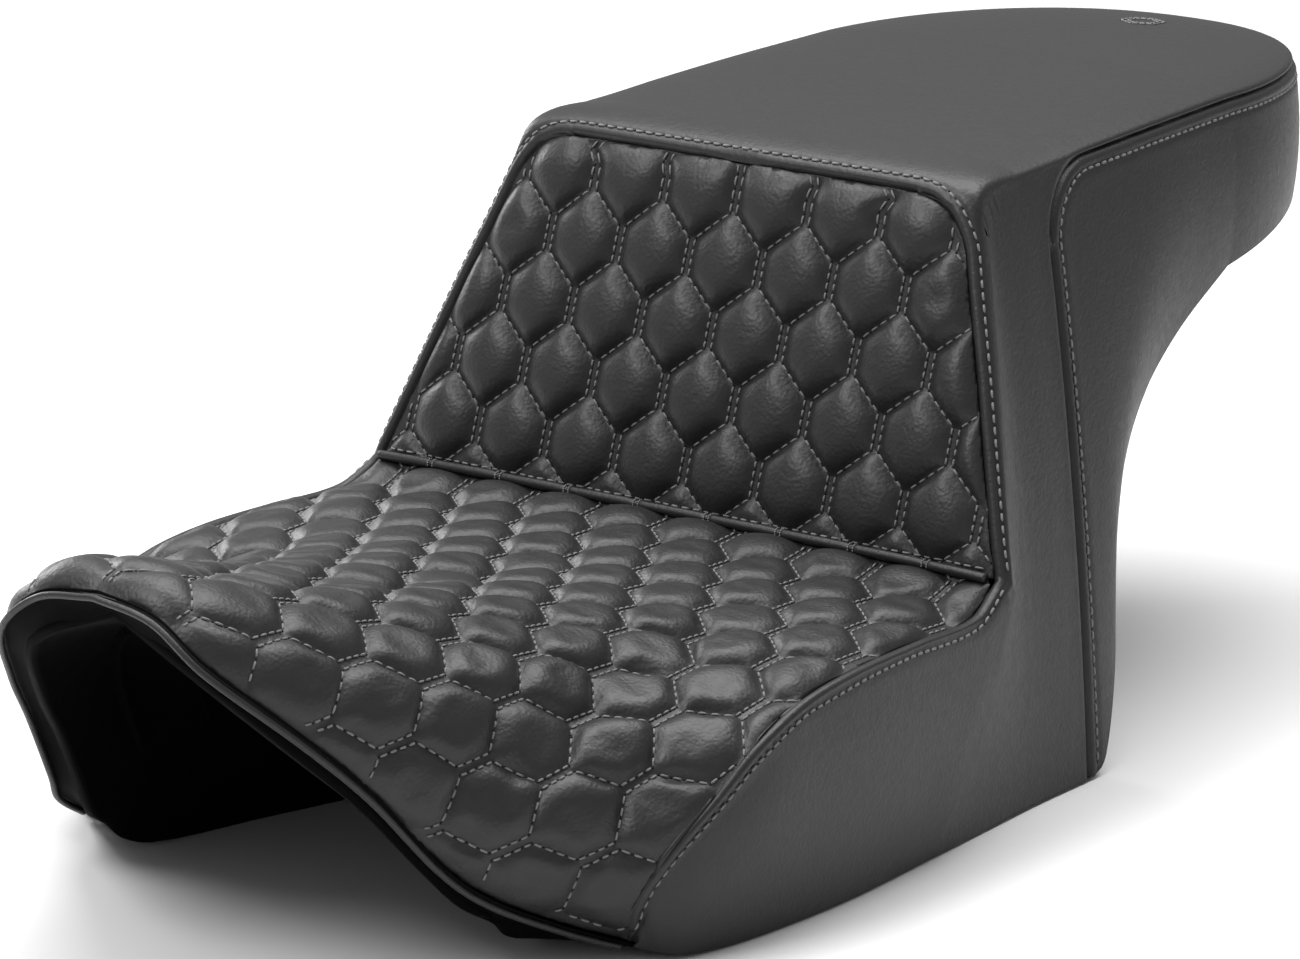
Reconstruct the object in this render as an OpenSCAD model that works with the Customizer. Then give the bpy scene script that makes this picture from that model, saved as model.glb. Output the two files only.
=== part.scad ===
// Step-up motorcycle seat: foam on a moulded pan under sewn covers.
// The guide curves below have y = 0 at the foot of the lumbar panel and z = 0 near the hem.
// Every node is moved to the seat's own frame by in_frame(): +Y rearwards, +X to the rider's left.

/* [Covers] */
// Thickness of the sewn covers
cover_t = 2.4; // [1.6:0.2:3]
// Thickness of the sew foam behind the quilted panels
backing_t = 4; // [2:0.5:5]
// Gap between neighbouring layers
layer_gap = 0.6; // [0.5:0.1:0.8]
// Radius of the welt between the rider and lumbar panels
welt_r = 1.9; // [1.5:0.1:2]
// Radius of the piping along the arch edge
piping_r = 2; // [1.5:0.1:2.4]
// Width of the shoulder band between the lumbar panel and the side face
shoulder_band = 7; // [5:1:10]
// Radius of the lumbar panel's top corners
lumbar_corner = 25; // [15:1:35]
// Radius of the corner where the side seam turns along the pillion
boxing_corner = 35; // [25:1:45]

/* [Pan and pads] */
// Wall thickness of the moulded pan
pan_t = 4; // [3:0.5:5]
// Thickness of the gel inserts
gel_t = 9; // [6:1:12]
// Spacing of the staples along the hem
staple_pitch = 26; // [18:1:40]

/* [Fittings] */
// Radius of the mounting screw's thread
screw_r = 3.175; // [3:0.025:4]
// How far the captive screw can lift
screw_lift = 4; // [2:0.5:5]
// Thickness of the steel tongue and rear tab
steel_t = 3; // [2:0.5:4]
// Radius of the rubber bumpers
bumper_r = 11; // [8:1:14]

/* [Hidden] */
$fn = 48;

// Middle of the length and lowest hem point, in guide coordinates
centre_y = 31.6;
foot_z = -5;
// The covers' hem stays this high, so that the pan's rim takes the weight
hem_z = -4;

// ---- Guide curves. The first column is the station u along the seat: 0 is the arch edge,
// ---- 1 the foot of the lumbar panel, 2 its top, 3 the side seam, 4 where the rear starts to
// ---- round and 5 the rear centre. front_edge and pan_front run across instead, 0 to 1.
front_edge = [[0, 0, -384, 163], [0.12, 30, -384, 158], [0.24, 54, -380, 140], [0.38, 78, -350, 108],
    [0.5, 92, -325, 81], [0.62, 105, -299, 47], [0.74, 117, -282, 30], [0.87, 132, -252, 13],
    [1, 150, -230, 3]];
rider_centre = [[0, -384, 163], [0.03, -377, 169], [0.07, -362, 171], [0.15, -334, 161],
    [0.25, -294, 145], [0.4, -236, 128], [0.55, -182, 117], [0.7, -126, 110], [0.85, -64, 107],
    [1, 0, 108]];
rider_seam = [[0, 150, -230, 3], [0.05, 157, -238, 20], [0.12, 168, -230, 44], [0.2, 176, -208, 66],
    [0.3, 179, -186, 83], [0.45, 178, -154, 94], [0.6, 177, -117, 98], [0.78, 175, -70, 98],
    [0.93, 172.5, -22, 97], [1, 169, 0, 106]];
hem_line = [[0, 150, -230, 2], [0.15, 165, -213, -3], [0.3, 173, -180, -4], [0.6, 177, -120, -4],
    [1, 174, -50, -4], [2, 169, 35, -4], [3, 168, 82, -4], [3.08, 167, 96, 3], [3.2, 160, 113, 38],
    [3.4, 150, 127, 84], [3.6, 141, 147, 122], [3.8, 132, 179, 150], [3.9, 126, 215, 169],
    [4, 121, 262, 188]];
top_line = [[1, 0, 108], [1.1, 3.5, 122], [1.9, 43, 243], [2, 48, 259], [2.1, 53, 265],
    [2.3, 66, 268.5], [2.6, 88, 269], [3, 110, 269.5], [3.5, 190, 272], [4, 270, 273]];
shoulder_line = [[1, 176, 9, 104], [1.5, 150, 34, 181], [1.9, 129, 54, 240], [2.1, 124, 63, 254],
    [2.5, 122, 84, 259], [3, 121, 108, 261], [3.5, 119, 190, 263], [4, 116, 270, 264]];
pan_front = [[0, 0, -374, 150], [0.2, 42, -375, 131], [0.35, 65, -345, 97], [0.5, 78, -319, 71],
    [0.7, 90, -294, 40], [0.85, 98, -279, 22], [1, 105, -264, 12]];
pan_roof = [[0, -374, 150], [0.25, -292, 122], [0.4, -236, 99], [0.55, -176, 80], [0.7, -120, 78],
    [0.9, -50, 78], [1, -14, 78.5], [1.5, 38, 100], [2, 78, 146], [2.5, 104, 176], [3, 128, 192],
    [3.5, 172, 204], [4, 262, 213]];
pan_edge = [[0, 105, -264, 12], [0.05, 104, -255, 4], [0.12, 102, -238, -2], [0.3, 95, -192, -5],
    [0.6, 76, -122, -5], [1, 72, -50, -5], [2, 76, 35, -5], [3, 82, 82, -5], [3.08, 83, 96, 2],
    [3.2, 84, 112, 38], [3.4, 86, 127, 84], [3.6, 88, 147, 122], [3.8, 89, 179, 150],
    [3.9, 89, 215, 169], [4, 88, 262, 188]];

// Rear end: rounded in plan about rear_y, and closed at rear_turn degrees, just before it reaches x = 0
rear_y = 270;
rear_length = 150;
rear_power = 2.1;
rear_turn = 84;
seam_drop = 3;
// The pan's rim stops short of the hem, and is hollowed so that the staples clear the ground
rim_setback = 6;
rim_hollow = 1.6;

// ---- Interpolation
function values(row) = [for (k = [1:len(row) - 1]) row[k]];
function span_of(pts, u, i = 0) = i >= len(pts) - 2 || u < pts[i + 1][0] ? i : span_of(pts, u, i + 1);
function slope_at(pts, i) =
    let (a = max(i - 1, 0), b = min(i + 1, len(pts) - 1))
    (values(pts[b]) - values(pts[a])) / (pts[b][0] - pts[a][0]);
// Smooth curve through pts at the parameter u
function curve(pts, u) =
    let (i = span_of(pts, u), h = pts[i + 1][0] - pts[i][0], s = (u - pts[i][0]) / h,
        s2 = s * s, s3 = s2 * s)
    values(pts[i]) * (2 * s3 - 3 * s2 + 1) + slope_at(pts, i) * h * (s3 - 2 * s2 + s)
    + values(pts[i + 1]) * (3 * s2 - 2 * s3) + slope_at(pts, i + 1) * h * (s3 - s2);
function mix(a, b, t) = a + (b - a) * t;
function clamp01(t) = min(max(t, 0), 1);
// Depth of a circle of radius r below its tangent, at a distance d from where it meets it
function arc_drop(r, d) = d >= r ? 0 : r - sqrt(r * r - pow(r - max(d, 0), 2));

// ---- The seat's outer surface
function rear_angle(u) = clamp01(u - 4) * rear_turn;
function shoulder(u) = u <= 4 ? curve(shoulder_line, u) :
    let (a = rear_angle(u), p = shoulder_line[len(shoulder_line) - 1])
    [p[1] * pow(cos(a), 2 / rear_power), rear_y + rear_length * sin(a), p[3] - seam_drop * sin(a)];
function crown(u) = u <= 4 ? concat([0], curve(top_line, u)) :
    let (a = rear_angle(u), h = top_line[len(top_line) - 1][2] - shoulder_line[len(shoulder_line) - 1][3])
    [0, rear_y + rear_length * sin(a), shoulder(u)[2] + h * pow(cos(a), 0.8)];
function above_ground(p, z) = [p[0], p[1], max(p[2], z)];
function hem(u) = u <= 4 ? above_ground(curve(hem_line, u), hem_z) :
    let (a = rear_angle(u))
    [121 * pow(cos(a), 2 / rear_power), rear_y - 8 + (rear_length + 6) * sin(a), 188 + 22 * sin(a)];
// How square the section is at a station: flat on the lumbar panel, rounder on the pillion
function squareness(u) = lookup(u, [[1, 7], [2, 6], [2.6, 3], [3, 2.7], [5, 2.6]]);
function flank_bulge(u) = lookup(u, [[1, 5], [2, 6], [3, 4], [4, 3], [5, 3]]);
// Section behind the welt: tau runs 0 to 1 from the crown to the shoulder, and 1 to 2 down the side
function section(u, tau) =
    let (c = crown(u), h = shoulder(u), b = hem(u), n = squareness(u), a = clamp01(tau) * 90,
        q = 1 - pow(cos(a), 2 / n), f = clamp01(tau - 1), m = mix(h, b, f))
    tau <= 1 ? [h[0] * pow(sin(a), 2 / n), mix(c[1], h[1], q), mix(c[2], h[2], q)]
    : [m[0] + flank_bulge(u) * 4 * f * (1 - f), m[1], m[2]];
// tau of the sewn edge: the lumbar panel's side, then the boxing's upper edge
function edge_tau(u) =
    let (h = shoulder(min(u, 2)), slope_length = 160,
        x = h[0] - shoulder_band - arc_drop(lumbar_corner, (2 - min(u, 2)) * slope_length),
        at_lumbar = asin(pow(x / h[0], squareness(min(u, 2)) / 2)) / 90,
        v = max(u, 3), drop = arc_drop(boxing_corner, shoulder(v)[1] - shoulder(3)[1]),
        at_boxing = 1 + drop / norm(shoulder(v) - hem(v)))
    u <= 2 ? at_lumbar : u >= 3 ? at_boxing : mix(at_lumbar, at_boxing, u - 2);
// Rider panel: a patch between its centre line, its seam, the arch edge and the welt
function welt_line(t) = [169 * t, 0, 108 - 1.5 * pow(t, 4)];
function side_crest(u, t) = 66 * pow(t, 3) * (1 - t) * lookup(u, [[0, 0], [0.3, 0.3], [0.6, 1], [0.85, 0.8], [1, 0]]);
function rider(u, t) =
    let (b = 0.65 * u + 0.35 * u * u * (3 - 2 * u),
        across = mix(curve(front_edge, t), welt_line(t), b),
        at_centre = concat([0], curve(rider_centre, u)) - mix(values(front_edge[0]), welt_line(0), b),
        at_seam = curve(rider_seam, u) - mix(values(front_edge[len(front_edge) - 1]), welt_line(1), b))
    across + (1 - t) * at_centre + t * at_seam + [0, 0, side_crest(u, t)];
// Flank: s runs 0 to 1 from the sewn edge to the hem. Its section at the welt is carried forward.
function flank(u, s) =
    let (t = edge_tau(max(u, 1)), here = section(max(u, 1), mix(t, 2, s)))
    u >= 1 ? here :
    let (p0 = section(1, t), p1 = section(1, 2), swell = here - mix(p0, p1, s),
        e = curve(rider_seam, u), b = hem(u), k = pow(min(norm(e - b) / norm(p0 - p1), 1), 0.7))
    mix(e, b, s) + swell * k;
// Whole surface: g runs 0 to 1 across a panel and 1 to 2 down the flank, and is negative on the right
function seat_half(u, g) = g > 1 ? flank(u, g - 1) : u < 1 ? rider(u, g) : section(u, edge_tau(u) * g);
function seat_point(u, g) = let (p = seat_half(u, abs(g))) [sign(g) * p[0], p[1], p[2]];

// ---- The pan's lower surface: q runs 0 to 1 from the roof to the inner edge, 1 to 2 out to the hem
function pan_inner(u) = u <= 4 ? above_ground(curve(pan_edge, u), foot_z) :
    let (a = rear_angle(u))
    [88 * pow(cos(a), 2 / rear_power), rear_y - 8 + (rear_length - 28) * sin(a), 188 + 20 * sin(a)];
function pan_top(u) = u <= 4 ? concat([0], curve(pan_roof, u)) :
    let (a = rear_angle(u)) [0, 262 + (rear_length - 32) * sin(a), 213 + 4 * sin(a)];
function tunnel(u, q) =
    let (c = pan_top(u), e = pan_inner(u), a = q * 90, n = 4, k = 1 - pow(cos(a), 2 / n))
    [e[0] * pow(sin(a), 2 / n), mix(c[1], e[1], k), mix(c[2], e[2], k)];
function pan_half(u, q) =
    let (fade = pow(clamp01(1 - u / 0.4), 2), e = pan_inner(u), a = rear_angle(u),
        rim = hem(u) - [rim_setback * cos(a), rim_setback * sin(a), hem_z - foot_z])
    q > 1 ? mix(e, rim, q - 1) + [0, 0, rim_hollow * sin((q - 1) * 180)] :
    tunnel(u, q) + fade * (curve(pan_front, q) - tunnel(0, q));
function pan_point(u, q) = let (p = pan_half(u, abs(q))) [sign(q) * p[0], p[1], p[2]];

// ---- Grids of points and the closed skins between them
function unit(v) = v / max(norm(v), 0.001);
function mirrored(list) = concat([for (k = [len(list) - 1:-1:1]) -list[k]], list);
function part_of(list, a, b) = [for (v = list) if (v >= a && v <= b) v];
// Index of the neighbour of list[i] in the direction d, jumping over a seam so that both of
// its edges get the same normal
function crosses(a, b, seams) = len([for (s = seams) if ((a - s) * (b - s) < 0) 1]) > 0;
function neighbour(list, i, d, seams) =
    let (last = len(list) - 1, k = min(max(i + d, 0), last))
    crosses(list[i], list[k], seams) ? min(max(i + 2 * d, 0), last) : k;
// Direction of a line of points at b, halfway between its two sides however long they are
function heading(a, b, c) = unit(b - a) + unit(c - b);
// Normals of a grid of points, pointing out of the seat
function normals(p, rows, cols, row_seams = [], col_seams = []) =
    [for (i = [0:len(p) - 1]) [for (j = [0:len(p[0]) - 1])
        let (i0 = neighbour(rows, i, -1, row_seams), i1 = neighbour(rows, i, 1, row_seams),
            j0 = neighbour(cols, j, -1, col_seams), j1 = neighbour(cols, j, 1, col_seams))
        unit(cross(heading(p[i][j0], p[i][j], p[i][j1]), heading(p[i0][j], p[i][j], p[i1][j])))]];
function shifted(p, n, d) = [for (i = [0:len(p) - 1]) [for (j = [0:len(p[0]) - 1]) p[i][j] + n[i][j] * d]];
// Closed skin between an outer and an inner grid. keep[i][j] tells which cells exist.
module skin(outer, inner, keep) {
    rows = len(outer);
    cols = len(outer[0]);
    below = rows * cols;
    function has(i, j) = i >= 0 && j >= 0 && i < rows - 1 && j < cols - 1 && keep[i][j];
    function id(i, j) = i * cols + j;
    function wall(a, b) = [[a, b, b + below], [a, b + below, a + below]];
    cells = [for (i = [0:rows - 2]) for (j = [0:cols - 2]) if (has(i, j)) [i, j]];
    faces = [for (c = cells)
        let (a = id(c[0], c[1]), b = a + 1, d = a + cols, e = d + 1)
        for (f = concat(
            [[a, e, b], [a, d, e], [a + below, b + below, e + below], [a + below, e + below, d + below]],
            has(c[0] - 1, c[1]) ? [] : wall(a, b),
            has(c[0] + 1, c[1]) ? [] : wall(e, d),
            has(c[0], c[1] - 1) ? [] : wall(d, a),
            has(c[0], c[1] + 1) ? [] : wall(b, e))) f];
    points = concat([for (r = outer) for (p = r) p], [for (r = inner) for (p = r) p]);
    polyhedron(points, faces);
}
// Closed tube of radius r along a list of points
module tube(path, r, sides = 8) {
    last = len(path) - 1;
    points = [for (i = [0:last])
        let (t = unit(path[min(i + 1, last)] - path[max(i - 1, 0)]),
            v = unit(cross(t, [0.2, 0.9, 0.4])), w = cross(t, v))
        for (k = [0:sides - 1]) path[i] + r * (cos(k * 360 / sides) * v + sin(k * 360 / sides) * w)];
    walls = [for (i = [0:last - 1]) for (k = [0:sides - 1])
        let (a = i * sides + k, b = i * sides + (k + 1) % sides)
        for (f = [[a, b + sides, b], [a, a + sides, b + sides]]) f];
    caps = [[for (k = [0:sides - 1]) k], [for (k = [sides - 1:-1:0]) last * sides + k]];
    polyhedron(points, concat(walls, caps));
}
module in_frame() {
    translate([0, -centre_y, -foot_z]) children();
}

// ---- One grid of stations and columns shared by the covers, the foam and the pan.
// ---- Pairs of near values are the two sides of a seam.
stations = [0, 0.03, 0.07, 0.12, 0.19, 0.27, 0.36, 0.46, 0.57, 0.69, 0.81, 0.92, 0.992,
    1.02, 1.08, 1.16, 1.5, 1.85, 1.93, 1.985, 2.015, 2.07, 2.15, 2.38, 2.42, 2.7, 2.99,
    3.01, 3.08, 3.16, 3.3, 3.55, 3.8, 4, 4.25, 4.5, 4.75, 4.9, 5];
across = [0, 0.2, 0.4, 0.58, 0.73, 0.85, 0.93, 0.995, 1.005, 1.06, 1.14, 1.3, 1.55, 1.85, 2];
columns = mirrored(across);
surface = [for (u = stations) [for (g = columns) seat_point(u, g)]];
outward = normals(surface, stations, columns, [1, 2, 2.4, 3], [-1, 1]);
function covers(depth) = shifted(surface, outward, -depth);
// Cells of the grid between two stations and two columns, on both sides
function cells_in(u0, u1, g0, g1) =
    [for (i = [0:len(stations) - 2]) [for (j = [0:len(columns) - 2])
        let (a = min(abs(columns[j]), abs(columns[j + 1])), b = max(abs(columns[j]), abs(columns[j + 1])))
        stations[i] >= u0 && stations[i + 1] <= u1 && a >= g0 && b <= g1]];
function either(k, l) = [for (i = [0:len(k) - 1]) [for (j = [0:len(k[0]) - 1]) k[i][j] || l[i][j]]];

// ---- Covers
module rider_cover() {
    color("#242426") skin(surface, covers(cover_t), cells_in(0, 0.992, 0, 0.995));
}
module lumbar_cover() {
    color("#242426") skin(surface, covers(cover_t), cells_in(1.02, 1.985, 0, 0.995));
}
// Everything outside the quilted panels and ahead of the side seam
module main_cover() {
    flanks = cells_in(0.03, 2.99, 1.005, 2);
    shoulders = cells_in(2.015, 2.99, 0, 2);
    pillion = cells_in(2.015, 5, 0, 0.995);
    color("#232325") skin(surface, covers(cover_t), either(flanks, either(shoulders, pillion)));
}
// Side and rear panel: one strip from the left side seam round the rear to the right one
module side_boxing() {
    first = len(part_of(stations, 0, 3));
    last = len(stations) - 1;
    mid = len(across) - 1;
    edge = len(part_of(across, 0, 1));
    function strip(grid) = concat(
        [for (i = [first:last]) [for (k = [mid:-1:edge]) grid[i][mid - k]]],
        [for (i = [last:-1:first]) [for (k = [mid:-1:edge]) grid[i][mid + k]]]);
    all_cells = [for (i = [0:2 * (last - first)]) [for (k = [edge:mid - 1]) true]];
    color("#232325") skin(strip(surface), strip(covers(cover_t)), all_cells);
}
module lumbar_welt() {
    ends = 0.98;
    path = [for (k = [-9:9]) let (p = welt_line(abs(k) / 9 * ends)) [sign(k) * p[0], -1.3, p[2] + 1.3]];
    color("#1b1b1c") tube(path, welt_r);
}
module nose_piping() {
    lead = 0.004;
    path = [for (t = mirrored(concat(part_of(across, 0, 0.94), [0.98])))
        let (p = seat_point(0, t), ahead = unit(p - seat_point(lead, t)))
        p + ahead * (piping_r + 0.6) - [0, 0, 0.6]];
    color("#1b1b1c") tube(path, piping_r);
}

// ---- Sew foam and gel
backing_depth = cover_t + layer_gap;
quilted_depth = backing_depth + backing_t + layer_gap;
plain_depth = cover_t + layer_gap;
backing_edge = 0.85;
module backing(u0, u1) {
    color("#55585c")
    skin(covers(backing_depth), covers(backing_depth + backing_t), cells_in(u0, u1, 0, backing_edge));
}
module rider_backing() {
    backing(0.07, 0.92);
}
module lumbar_backing() {
    backing(1.16, 1.85);
}
// Stations and widths of the gel pads, which lie in pockets in the foam
rider_gel = [0.57, 0.81, 0.4];
pillion_gel = [3.16, 4, 0.4];
module gel_pad(place, depth) {
    color("#3f6f8c") skin(covers(depth), covers(depth + gel_t), cells_in(place[0], place[1], 0, place[2]));
}
module rider_gel_pad() {
    gel_pad(rider_gel, quilted_depth);
}
module pillion_gel_pad() {
    gel_pad(pillion_gel, plain_depth);
}

// ---- The pan. Its columns match the covers' ones, so the foam runs from column to column.
pan_across = [0, 0.16, 0.32, 0.48, 0.62, 0.75, 0.87, 0.93, 1, 1.28, 1.4, 1.5, 1.6, 1.72, 1.86, 2];
pan_columns = mirrored(pan_across);
pan_under = [for (u = stations) [for (q = pan_columns) pan_point(u, q)]];
pan_outward = normals(pan_under, stations, pan_columns);
module base_pan() {
    every = [for (i = [0:len(stations) - 2]) [for (j = [0:len(pan_under[0]) - 2]) true]];
    color("#101011") skin(shifted(pan_under, pan_outward, pan_t), pan_under, every);
}

// ---- Moulded foam: from under the covers down to just above the pan
function within(u, g, place) = u >= place[0] && u <= place[1] && abs(g) <= place[2];
function foam_depth(u, g) =
    (abs(g) <= backing_edge && (within(u, 0, [0.07, 0.92, 0]) || within(u, 0, [1.16, 1.85, 0])) ? quilted_depth
    : plain_depth) + (within(u, g, rider_gel) || within(u, g, pillion_gel) ? gel_t + layer_gap : 0);
// The foam's lowest edge stops this far above the hem, clear of the pan's rim, and is tucked in
foam_lift = pan_t + 6;
foam_tuck = 1.5;
foam_outer = [for (i = [0:len(stations) - 1]) [for (j = [0:len(columns) - 1])
    let (k = j == 0 ? 1 : j == len(columns) - 1 ? j - 1 : j, p = surface[i][j], above = surface[i][k],
        t = k == j ? 0 : min(foam_lift / norm(above - p), 0.8))
    mix(p, above, t) - mix(outward[i][j], outward[i][k], t)
        * (foam_depth(stations[i], columns[j]) + (k == j ? 0 : foam_tuck))]];
pan_gap = 2;
pan_side = shifted(pan_under, pan_outward, pan_t + pan_gap);
foam_inner = [for (row = pan_side) [for (j = [1:len(row) - 2]) row[j]]];
module foam(cells) {
    color("#c9b27a") skin(foam_outer, foam_inner, cells);
}
module rider_foam() {
    foam(either(cells_in(0.03, 0.19, 0, 0.995), cells_in(0.12, 0.992, 0, 2)));
}
module lumbar_foam() {
    foam(cells_in(1.08, 2.38, 0, 2));
}
module pillion_foam() {
    foam(cells_in(2.42, 4.9, 0, 2));
}

// ---- Staples through the folded hem into the pan's rim
module cover_staples() {
    staple = [9, 1.1, 0.8];
    first = 0.35;
    last = 2.8;
    count = floor((hem(last)[1] - hem(first)[1]) / staple_pitch);
    color("#b9bcc0") for (k = [0:count]) for (side = [-1, 1]) {
        p = pan_point(mix(first, last, k / count), side * 1.7);
        translate(p - [0, 0, 0.75]) cube(staple, center = true);
    }
}

// ---- Front tongue: a joggled steel plate riveted under the pan's flat roof
roof_z = 78;
tongue_w = 66;
tongue_y = [-152, -62];
tongue_reach = 46;
tongue_top = roof_z - 1.6;
tongue_step = 8;
rivet_r = 2.4;
rivet_places = [for (x = [-24, 24]) for (y = [-136, -78]) [x, y]];
module front_tongue() {
    blade_w = 44;
    color("#8d9196") difference() {
        union() {
            translate([-tongue_w / 2, tongue_y[0], tongue_top - steel_t])
                cube([tongue_w, tongue_y[1] - tongue_y[0], steel_t]);
            translate([-blade_w / 2, tongue_y[0], tongue_top - steel_t - tongue_step])
                cube([blade_w, steel_t, tongue_step + steel_t]);
            translate([-blade_w / 2, tongue_y[0] - tongue_reach, tongue_top - steel_t - tongue_step])
                cube([blade_w, tongue_reach + steel_t, steel_t]);
        }
        for (p = rivet_places) translate([p[0], p[1], tongue_top - steel_t - 1]) cylinder(r = rivet_r, h = steel_t + 2);
    }
}
module tongue_rivets() {
    head_r = 5;
    head_h = 1.8;
    grip = 4.2;
    color("#a9adb2") for (p = rivet_places) translate([p[0], p[1], tongue_top - steel_t]) {
        translate([0, 0, -head_h]) cylinder(r1 = head_r - 1.2, r2 = head_r, h = head_h);
        cylinder(r = rivet_r, h = steel_t + grip);
    }
}

// ---- Rear tab: a joggled steel strap with the mounting hole behind the seat
tab_w = 30;
tab_y = [308, 362];
tab_top = 213.6;
tab_drop = 12;
hole_y = 436;
hole_r = 4;
strap_top = tab_top - tab_drop;
tab_screw_y = [322, 348];
tab_screw_r = 2.5;
module rear_tab() {
    color("#8d9196") difference() {
        union() {
            translate([-tab_w / 2, tab_y[0], tab_top - steel_t]) cube([tab_w, tab_y[1] - tab_y[0], steel_t]);
            translate([-tab_w / 2, tab_y[1] - steel_t, strap_top - steel_t]) cube([tab_w, steel_t, tab_drop + steel_t]);
            translate([-tab_w / 2, tab_y[1] - steel_t, strap_top - steel_t])
                cube([tab_w, hole_y - tab_y[1] + steel_t, steel_t]);
            translate([0, hole_y, strap_top - steel_t]) cylinder(r = tab_w / 2, h = steel_t);
        }
        translate([0, hole_y, strap_top - steel_t - 1]) cylinder(r = hole_r, h = steel_t + 2);
        for (y = tab_screw_y) translate([0, y, tab_top - steel_t - 1]) cylinder(r = tab_screw_r, h = steel_t + 2);
    }
}
module rear_tab_screws() {
    head_r = 5;
    head_h = 3;
    grip = 3.6;
    color("#3a3c3f") for (y = tab_screw_y) translate([0, y, tab_top - steel_t]) {
        translate([0, 0, -head_h]) cylinder(r = head_r, h = head_h);
        cylinder(r = tab_screw_r, h = steel_t + grip);
    }
}
// Thumb screw: knurled head above the tab, and a neck that keeps the washer above the thread
washer_t = 1.6;
thread_free = 12;
neck_r = 2.4;
washer_top = strap_top - steel_t - screw_lift - 0.2;
module mounting_screw() {
    head_r = 9.5;
    head_h = 9;
    collar_h = 1.4;
    flutes = 20;
    color("#c3c6ca") translate([0, hole_y, 0]) {
        difference() {
            translate([0, 0, strap_top + collar_h]) cylinder(r = head_r, h = head_h);
            for (k = [0:flutes - 1]) rotate(k * 360 / flutes)
                translate([head_r + 0.5, 0, strap_top + collar_h - 1]) cylinder(r = 1, h = head_h + 2, $fn = 16);
        }
        translate([0, 0, strap_top + 0.1]) cylinder(r = head_r - 1.5, h = collar_h);
        translate([0, 0, washer_top - washer_t - 1]) cylinder(r = neck_r, h = strap_top + 2 - washer_top + washer_t);
        translate([0, 0, washer_top - washer_t - 0.1 - thread_free]) cylinder(r = screw_r, h = thread_free);
    }
}
module retaining_washer() {
    color("#e7e4dc") translate([0, hole_y, washer_top - washer_t]) difference() {
        cylinder(r = 8.5, h = washer_t);
        translate([0, 0, -1]) cylinder(r = neck_r + 0.06, h = washer_t + 2);
    }
}

// ---- Rubber bumpers: a button on a stem that is pressed into the pan
module bumper(u, q, height) {
    stem_r = 4;
    stem_h = 5;
    bite = 2;
    for (side = [-1, 1]) translate(pan_point(u, side * q) - [0, 0, stem_h]) {
        cylinder(r = stem_r, h = stem_h + bite);
        translate([0, 0, -height]) cylinder(r1 = bumper_r - 1, r2 = bumper_r, h = height);
    }
}
module front_bumpers() {
    color("#1a1a1a") bumper(0.36, 0.2, 9);
}
module middle_bumpers() {
    color("#1a1a1a") bumper(0.97, 0.22, 9);
}
module rear_bumpers() {
    color("#1a1a1a") bumper(4, 0.22, 18);
}

in_frame() rider_cover();
in_frame() lumbar_cover();
in_frame() main_cover();
in_frame() side_boxing();
in_frame() lumbar_welt();
in_frame() nose_piping();
in_frame() rider_backing();
in_frame() lumbar_backing();
in_frame() rider_gel_pad();
in_frame() pillion_gel_pad();
in_frame() rider_foam();
in_frame() lumbar_foam();
in_frame() pillion_foam();
in_frame() base_pan();
in_frame() cover_staples();
in_frame() front_tongue();
in_frame() tongue_rivets();
in_frame() rear_tab();
in_frame() rear_tab_screws();
in_frame() mounting_screw();
in_frame() retaining_washer();
in_frame() front_bumpers();
in_frame() middle_bumpers();
in_frame() rear_bumpers();
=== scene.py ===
"""Looks of the step-up motorcycle seat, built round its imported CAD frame.

The sewn covers are worked out from the same guide curves as the CAD, in millimetres, with y = 0 at
the foot of the lumbar panel, and are moved to the frame by placed(). Everything else is in metres.
"""

import math

import bmesh
import bpy
import numpy as np
from mathutils import Matrix, Vector
from mathutils.bvhtree import BVHTree
from mathutils.geometry import barycentric_transform
from mathutils.kdtree import KDTree


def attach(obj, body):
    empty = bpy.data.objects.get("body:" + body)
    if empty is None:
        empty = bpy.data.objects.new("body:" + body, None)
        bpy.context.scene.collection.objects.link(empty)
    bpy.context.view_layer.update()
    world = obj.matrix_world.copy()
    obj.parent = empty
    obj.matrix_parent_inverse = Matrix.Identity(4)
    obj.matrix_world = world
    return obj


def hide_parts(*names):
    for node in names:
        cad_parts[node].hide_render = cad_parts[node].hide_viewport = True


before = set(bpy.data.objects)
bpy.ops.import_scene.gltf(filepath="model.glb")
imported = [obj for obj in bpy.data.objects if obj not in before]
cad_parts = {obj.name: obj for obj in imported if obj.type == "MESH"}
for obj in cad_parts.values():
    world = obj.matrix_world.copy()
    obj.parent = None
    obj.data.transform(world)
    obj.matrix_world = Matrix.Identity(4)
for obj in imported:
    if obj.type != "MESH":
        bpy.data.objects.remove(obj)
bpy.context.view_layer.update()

# ---- Guide curves. The first column is the station u along the seat: 0 is the arch edge, 1 the
# ---- foot of the lumbar panel, 2 its top, 3 the side seam, 4 where the rear starts to round and
# ---- 5 the rear centre. FRONT_EDGE and PAN_FRONT run across instead, 0 to 1.
FRONT_EDGE = [[0, 0, -384, 163], [0.12, 30, -384, 158], [0.24, 54, -380, 140], [0.38, 78, -350, 108],
              [0.5, 92, -325, 81], [0.62, 105, -299, 47], [0.74, 117, -282, 30],
              [0.87, 132, -252, 13], [1, 150, -230, 3]]
RIDER_CENTRE = [[0, -384, 163], [0.03, -377, 169], [0.07, -362, 171], [0.15, -334, 161],
                [0.25, -294, 145], [0.4, -236, 128], [0.55, -182, 117], [0.7, -126, 110],
                [0.85, -64, 107], [1, 0, 108]]
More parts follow.
